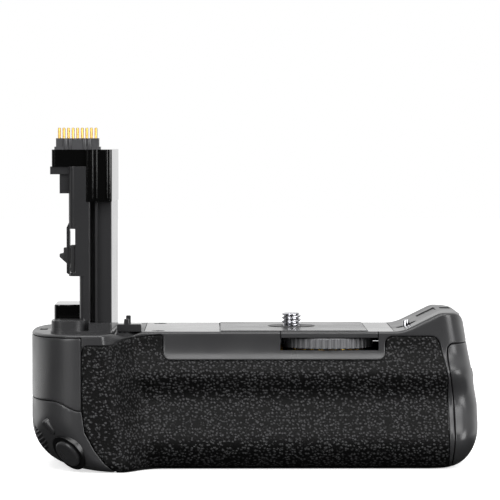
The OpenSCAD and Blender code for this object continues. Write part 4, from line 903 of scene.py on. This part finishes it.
# camera screw: quarter inch, 20 threads to the inch
screw = threaded(6.35, 4.9, 1.27, 44.5, 48.7, 0.35)
screwRest = lathe([(0, 34.1), (2.5, 34.1), (2.5, 38.4), (3.8, 38.4), (3.8, 42.7), (2.9, 42.7),
                   (2.9, 44.4), (2.45, 44.4), (2.45, 44.7), (0, 44.7)], 48)
carve(screw, screwRest, "UNION")
screw.data.transform(Matrix.Translation((screwX * mm, screwY * mm, 0)))
finishPiece(screw, "cameraScrew", nickel, ["camera_screw"], 40)
peg = lathe([(0, 41.5), (0.9, 41.5), (0.9, 44.0), (1.1, 44.0), (1.1, 46.2), (0.95, 46.6), (0.6, 46.78),
             (0, 46.8)], 32,
            Matrix.Translation((place["peg"][0] * mm, place["peg"][1] * mm, 0)))
finishPiece(peg, "locatingPin", nickel, ["locating_pin"])
print("repeats and screws done")

# pieces whose CAD shape is right get softened edges
softList = [
    ("deck_plate_left", "deckPlateLeft", deckAbs, 0.12), ("deck_plate_right", "deckPlateRight", deckAbs, 0.12),
    ("deck_pad", "deckPad", padRubber, 0.15), ("screw_collar", "screwCollar", matteAbs, 0.12),
    ("column_head", "columnHead", glossAbs, 0.6),
    ("contact_block", "contactBlock", greyPbt, 0.1), ("column_plinth", "columnPlinth", satinAbs, 0.3),
    ("column_foot", "columnFoot", glossAbs, 0.4),
    # the horn liner's near black is painted shade in the horn's recess
    ("cover_slide", "coverSlide", matteAbs, 0.2), ("horn_liner", "hornLiner", blackAbsAndRecessShade, 0.15),
    ("shutter_bezel", "shutterBezel", blackAbsAndRecessShade, 0.25), ("shutter_button", "shutterButton", satinAbs, 0.3),
    ("af_on_button", "focusButton", satinAbs, 0.3),
    ("ae_lock_button", "exposureButton", satinAbs, 0.3), ("af_point_button", "pointButton", satinAbs, 0.3),
    ("power_switch", "powerSwitch", matteAbs, 0.25), ("release_knob", "releaseKnob", matteAbs, 0.3),
    ("magazine_tray", "magazineTray", matteAbs, 0.2), ("magazine_sleeve", "magazineSleeve", matteAbs, 0.15),
    ("tripod_socket", "tripodSocket", turnedSteel, 0.15), ("lock_arm", "lockArm", turnedSteel, 0.15),
    ("bay_contacts", "bayContacts", goldFlash, 0.1), ("power_terminals", "powerTerminals", goldFlash, 0.15),
    ("mechanism_frame", "mechanismFrame", turnedSteel, 0.1)]
for nodeName, name, material, width in softList:
    softened(nodeName, name, material, width)

slotRoom = {"low": (-61, -24, 63.1), "high": (-55.6, 90, 77.1), "edge": 0.45}
# column: behind its slot the wall opens to the side, so that light comes through
columnBody = bpy.data.objects.new("columnBody", nodes["column_body"].data.copy())
scene.collection.objects.link(columnBody)
bevel(columnBody, slotRoom["edge"])
carve(columnBody, box(slotRoom["low"], slotRoom["high"]))
finishPiece(columnBody, "columnBody", columnAbs, ["column_body"], flat=True)
# hook guide: a low block with two upright tabs
hook = {"edge": 0.3, "block": ((-43.6, -26, 44.0), (-35.8, -18, 46.5)),
        "tabs": (((-41.4, -25.2, 45.5), (-39.8, -23.4, 48.1)), ((-40.9, -20.6, 45.5), (-39.3, -18.8, 49.0)))}
hookGuide = bevel(box(*hook["block"]), hook["edge"])
for low, high in hook["tabs"]:
    tab = bevel(box(low, high), hook["edge"])
    carve(hookGuide, tab, "UNION")
finishPiece(hookGuide, "hookGuide", columnAbs, ["hook_guide"], flat=True)
plainList = {"wheel_gear": stampedBrass, "screw_gear": stampedBrass, "wheel_axle": turnedSteel,
             "dial_axle": turnedSteel,
             "ribbon_cable": polyimide, "main_board": boardLaminate,
             "switch_board": boardLaminate, "shutter_switch": matteAbs}
for nodeName, material in plainList.items():
    nodes[nodeName].data.materials.clear()
    nodes[nodeName].data.materials.append(material)
print("softened:", len(softList), "kept:", len(plainList))

# pale floor, soft studio light
studio = {"floor": 1.0, "lift": 0.62, "bounce": 0.2, "ambient": 0.4,
          "top": 11.5, "left": 6.5, "right": 12.0, "behindCamera": 0.02}
edge, drop = 3000, -0.02
floor = solid("studioFloor", [(-edge, -edge, drop), (edge, -edge, drop), (edge, edge, drop), (-edge, edge, drop)],
              [(0, 1, 2, 3)])
floorMaterial = bpy.data.materials.new("studioFloorPaint")
floorMaterial.use_nodes = True
tree = floorMaterial.node_tree
tree.nodes.remove(tree.nodes["Principled BSDF"])
path = addNode(tree, "ShaderNodeLightPath")
paint = addNode(tree, "ShaderNodeBsdfDiffuse", None, {"Color": (studio["floor"],) * 3 + (1.0,)})
lift = addNode(tree, "ShaderNodeEmission", None, {"Color": (1, 1, 1, 1), "Strength": studio["lift"]})
seen = addNode(tree, "ShaderNodeAddShader", None, {0: paint.outputs[0], 1: lift.outputs[0]})
bounce = addNode(tree, "ShaderNodeBsdfDiffuse", None, {"Color": (studio["bounce"],) * 3 + (1.0,)})
# reflections see a dark floor towards the camera and white paper behind the object
spot = addNode(tree, "ShaderNodeSeparateXYZ", None, {"Vector": addNode(tree, "ShaderNodeTexCoord").outputs["Object"]})
paper = addNode(tree, "ShaderNodeMapRange", {"interpolation_type": "SMOOTHSTEP"}, {
    "Value": spot.outputs["Y"], "From Min": 0.0, "From Max": 0.12, "To Min": studio["behindCamera"], "To Max": 1.0})
mirrored = addNode(tree, "ShaderNodeEmission", None, {"Color": (1, 1, 1, 1), "Strength": paper.outputs["Result"]})
unseen = addNode(tree, "ShaderNodeMixShader", None, {
    "Fac": path.outputs["Is Glossy Ray"], 1: bounce.outputs[0], 2: mirrored.outputs[0]})
mixed = addNode(tree, "ShaderNodeMixShader", None, {
    "Fac": path.outputs["Is Camera Ray"], 1: unseen.outputs[0], 2: seen.outputs[0]})
tree.links.new(mixed.outputs[0], tree.nodes["Material Output"].inputs["Surface"])
floor.data.materials.append(floorMaterial)

world = bpy.data.worlds.new("studioWorld")
scene.world = world
world.use_nodes = True
tree = world.node_tree
path = addNode(tree, "ShaderNodeLightPath")
seen = addNode(tree, "ShaderNodeMath", {"operation": "MAXIMUM"}, {
    0: path.outputs["Is Camera Ray"], 1: path.outputs["Is Transmission Ray"]})
where = addNode(tree, "ShaderNodeTexCoord").outputs["Generated"]
axes = addNode(tree, "ShaderNodeSeparateXYZ", None, {"Vector": where})
# the room behind the camera and at the sides is darker than the white paper behind the object
behind = addNode(tree, "ShaderNodeMapRange", {"interpolation_type": "SMOOTHSTEP"}, {
    "Value": axes.outputs["Y"], "From Min": -0.5, "From Max": 0.25, "To Min": studio["behindCamera"], "To Max": 1.0})
aside = addNode(tree, "ShaderNodeMath", {"operation": "ABSOLUTE"}, {0: axes.outputs["X"]})
dimmed = addNode(tree, "ShaderNodeMapRange", None, {
    "Value": aside.outputs[0], "From Min": 0.3, "From Max": 0.9, "To Min": 1.0, "To Max": 0.4})
room = addNode(tree, "ShaderNodeMath", {"operation": "MULTIPLY"}, {
    0: behind.outputs["Result"], 1: dimmed.outputs["Result"]})
glossy = addNode(tree, "ShaderNodeMath", {"operation": "MULTIPLY"}, {
    0: path.outputs["Is Glossy Ray"], 1: room.outputs[0]})
plain = addNode(tree, "ShaderNodeMath", {"operation": "SUBTRACT"}, {0: 1.0, 1: path.outputs["Is Glossy Ray"]})
soft = addNode(tree, "ShaderNodeMath", {"operation": "MULTIPLY_ADD"}, {
    0: plain.outputs[0], 1: studio["ambient"], 2: glossy.outputs[0]})
level = addNode(tree, "ShaderNodeMath", {"operation": "MAXIMUM"}, {0: soft.outputs[0], 1: seen.outputs[0]})
sky = tree.nodes["Background"]
sky.inputs["Color"].default_value = (1, 1, 1, 1)
tree.links.new(level.outputs[0], sky.inputs["Strength"])


def softbox(name, place, aim, size, power):
    lamp = bpy.data.lights.new(name, "AREA")
    lamp.shape, lamp.size, lamp.size_y, lamp.energy = "RECTANGLE", size[0], size[1], power
    made = bpy.data.objects.new(name, lamp)
    made.location = place
    made.rotation_euler = (Vector(aim) - Vector(place)).to_track_quat("-Z", "Y").to_euler()
    scene.collection.objects.link(made)


softbox("topSoftbox", (0.0, -0.6, 1.05), (0, 0, 0.03), (1.3, 0.6), studio["top"])
softbox("leftSoftbox", (-0.65, -0.98, 0.45), (0, 0, 0.04), (0.6, 0.7), studio["left"])
softbox("rightSoftbox", (0.95, -0.75, 0.45), (0, 0, 0.04), (0.8, 0.8), studio["right"])
scene.view_settings.view_transform = "Standard"
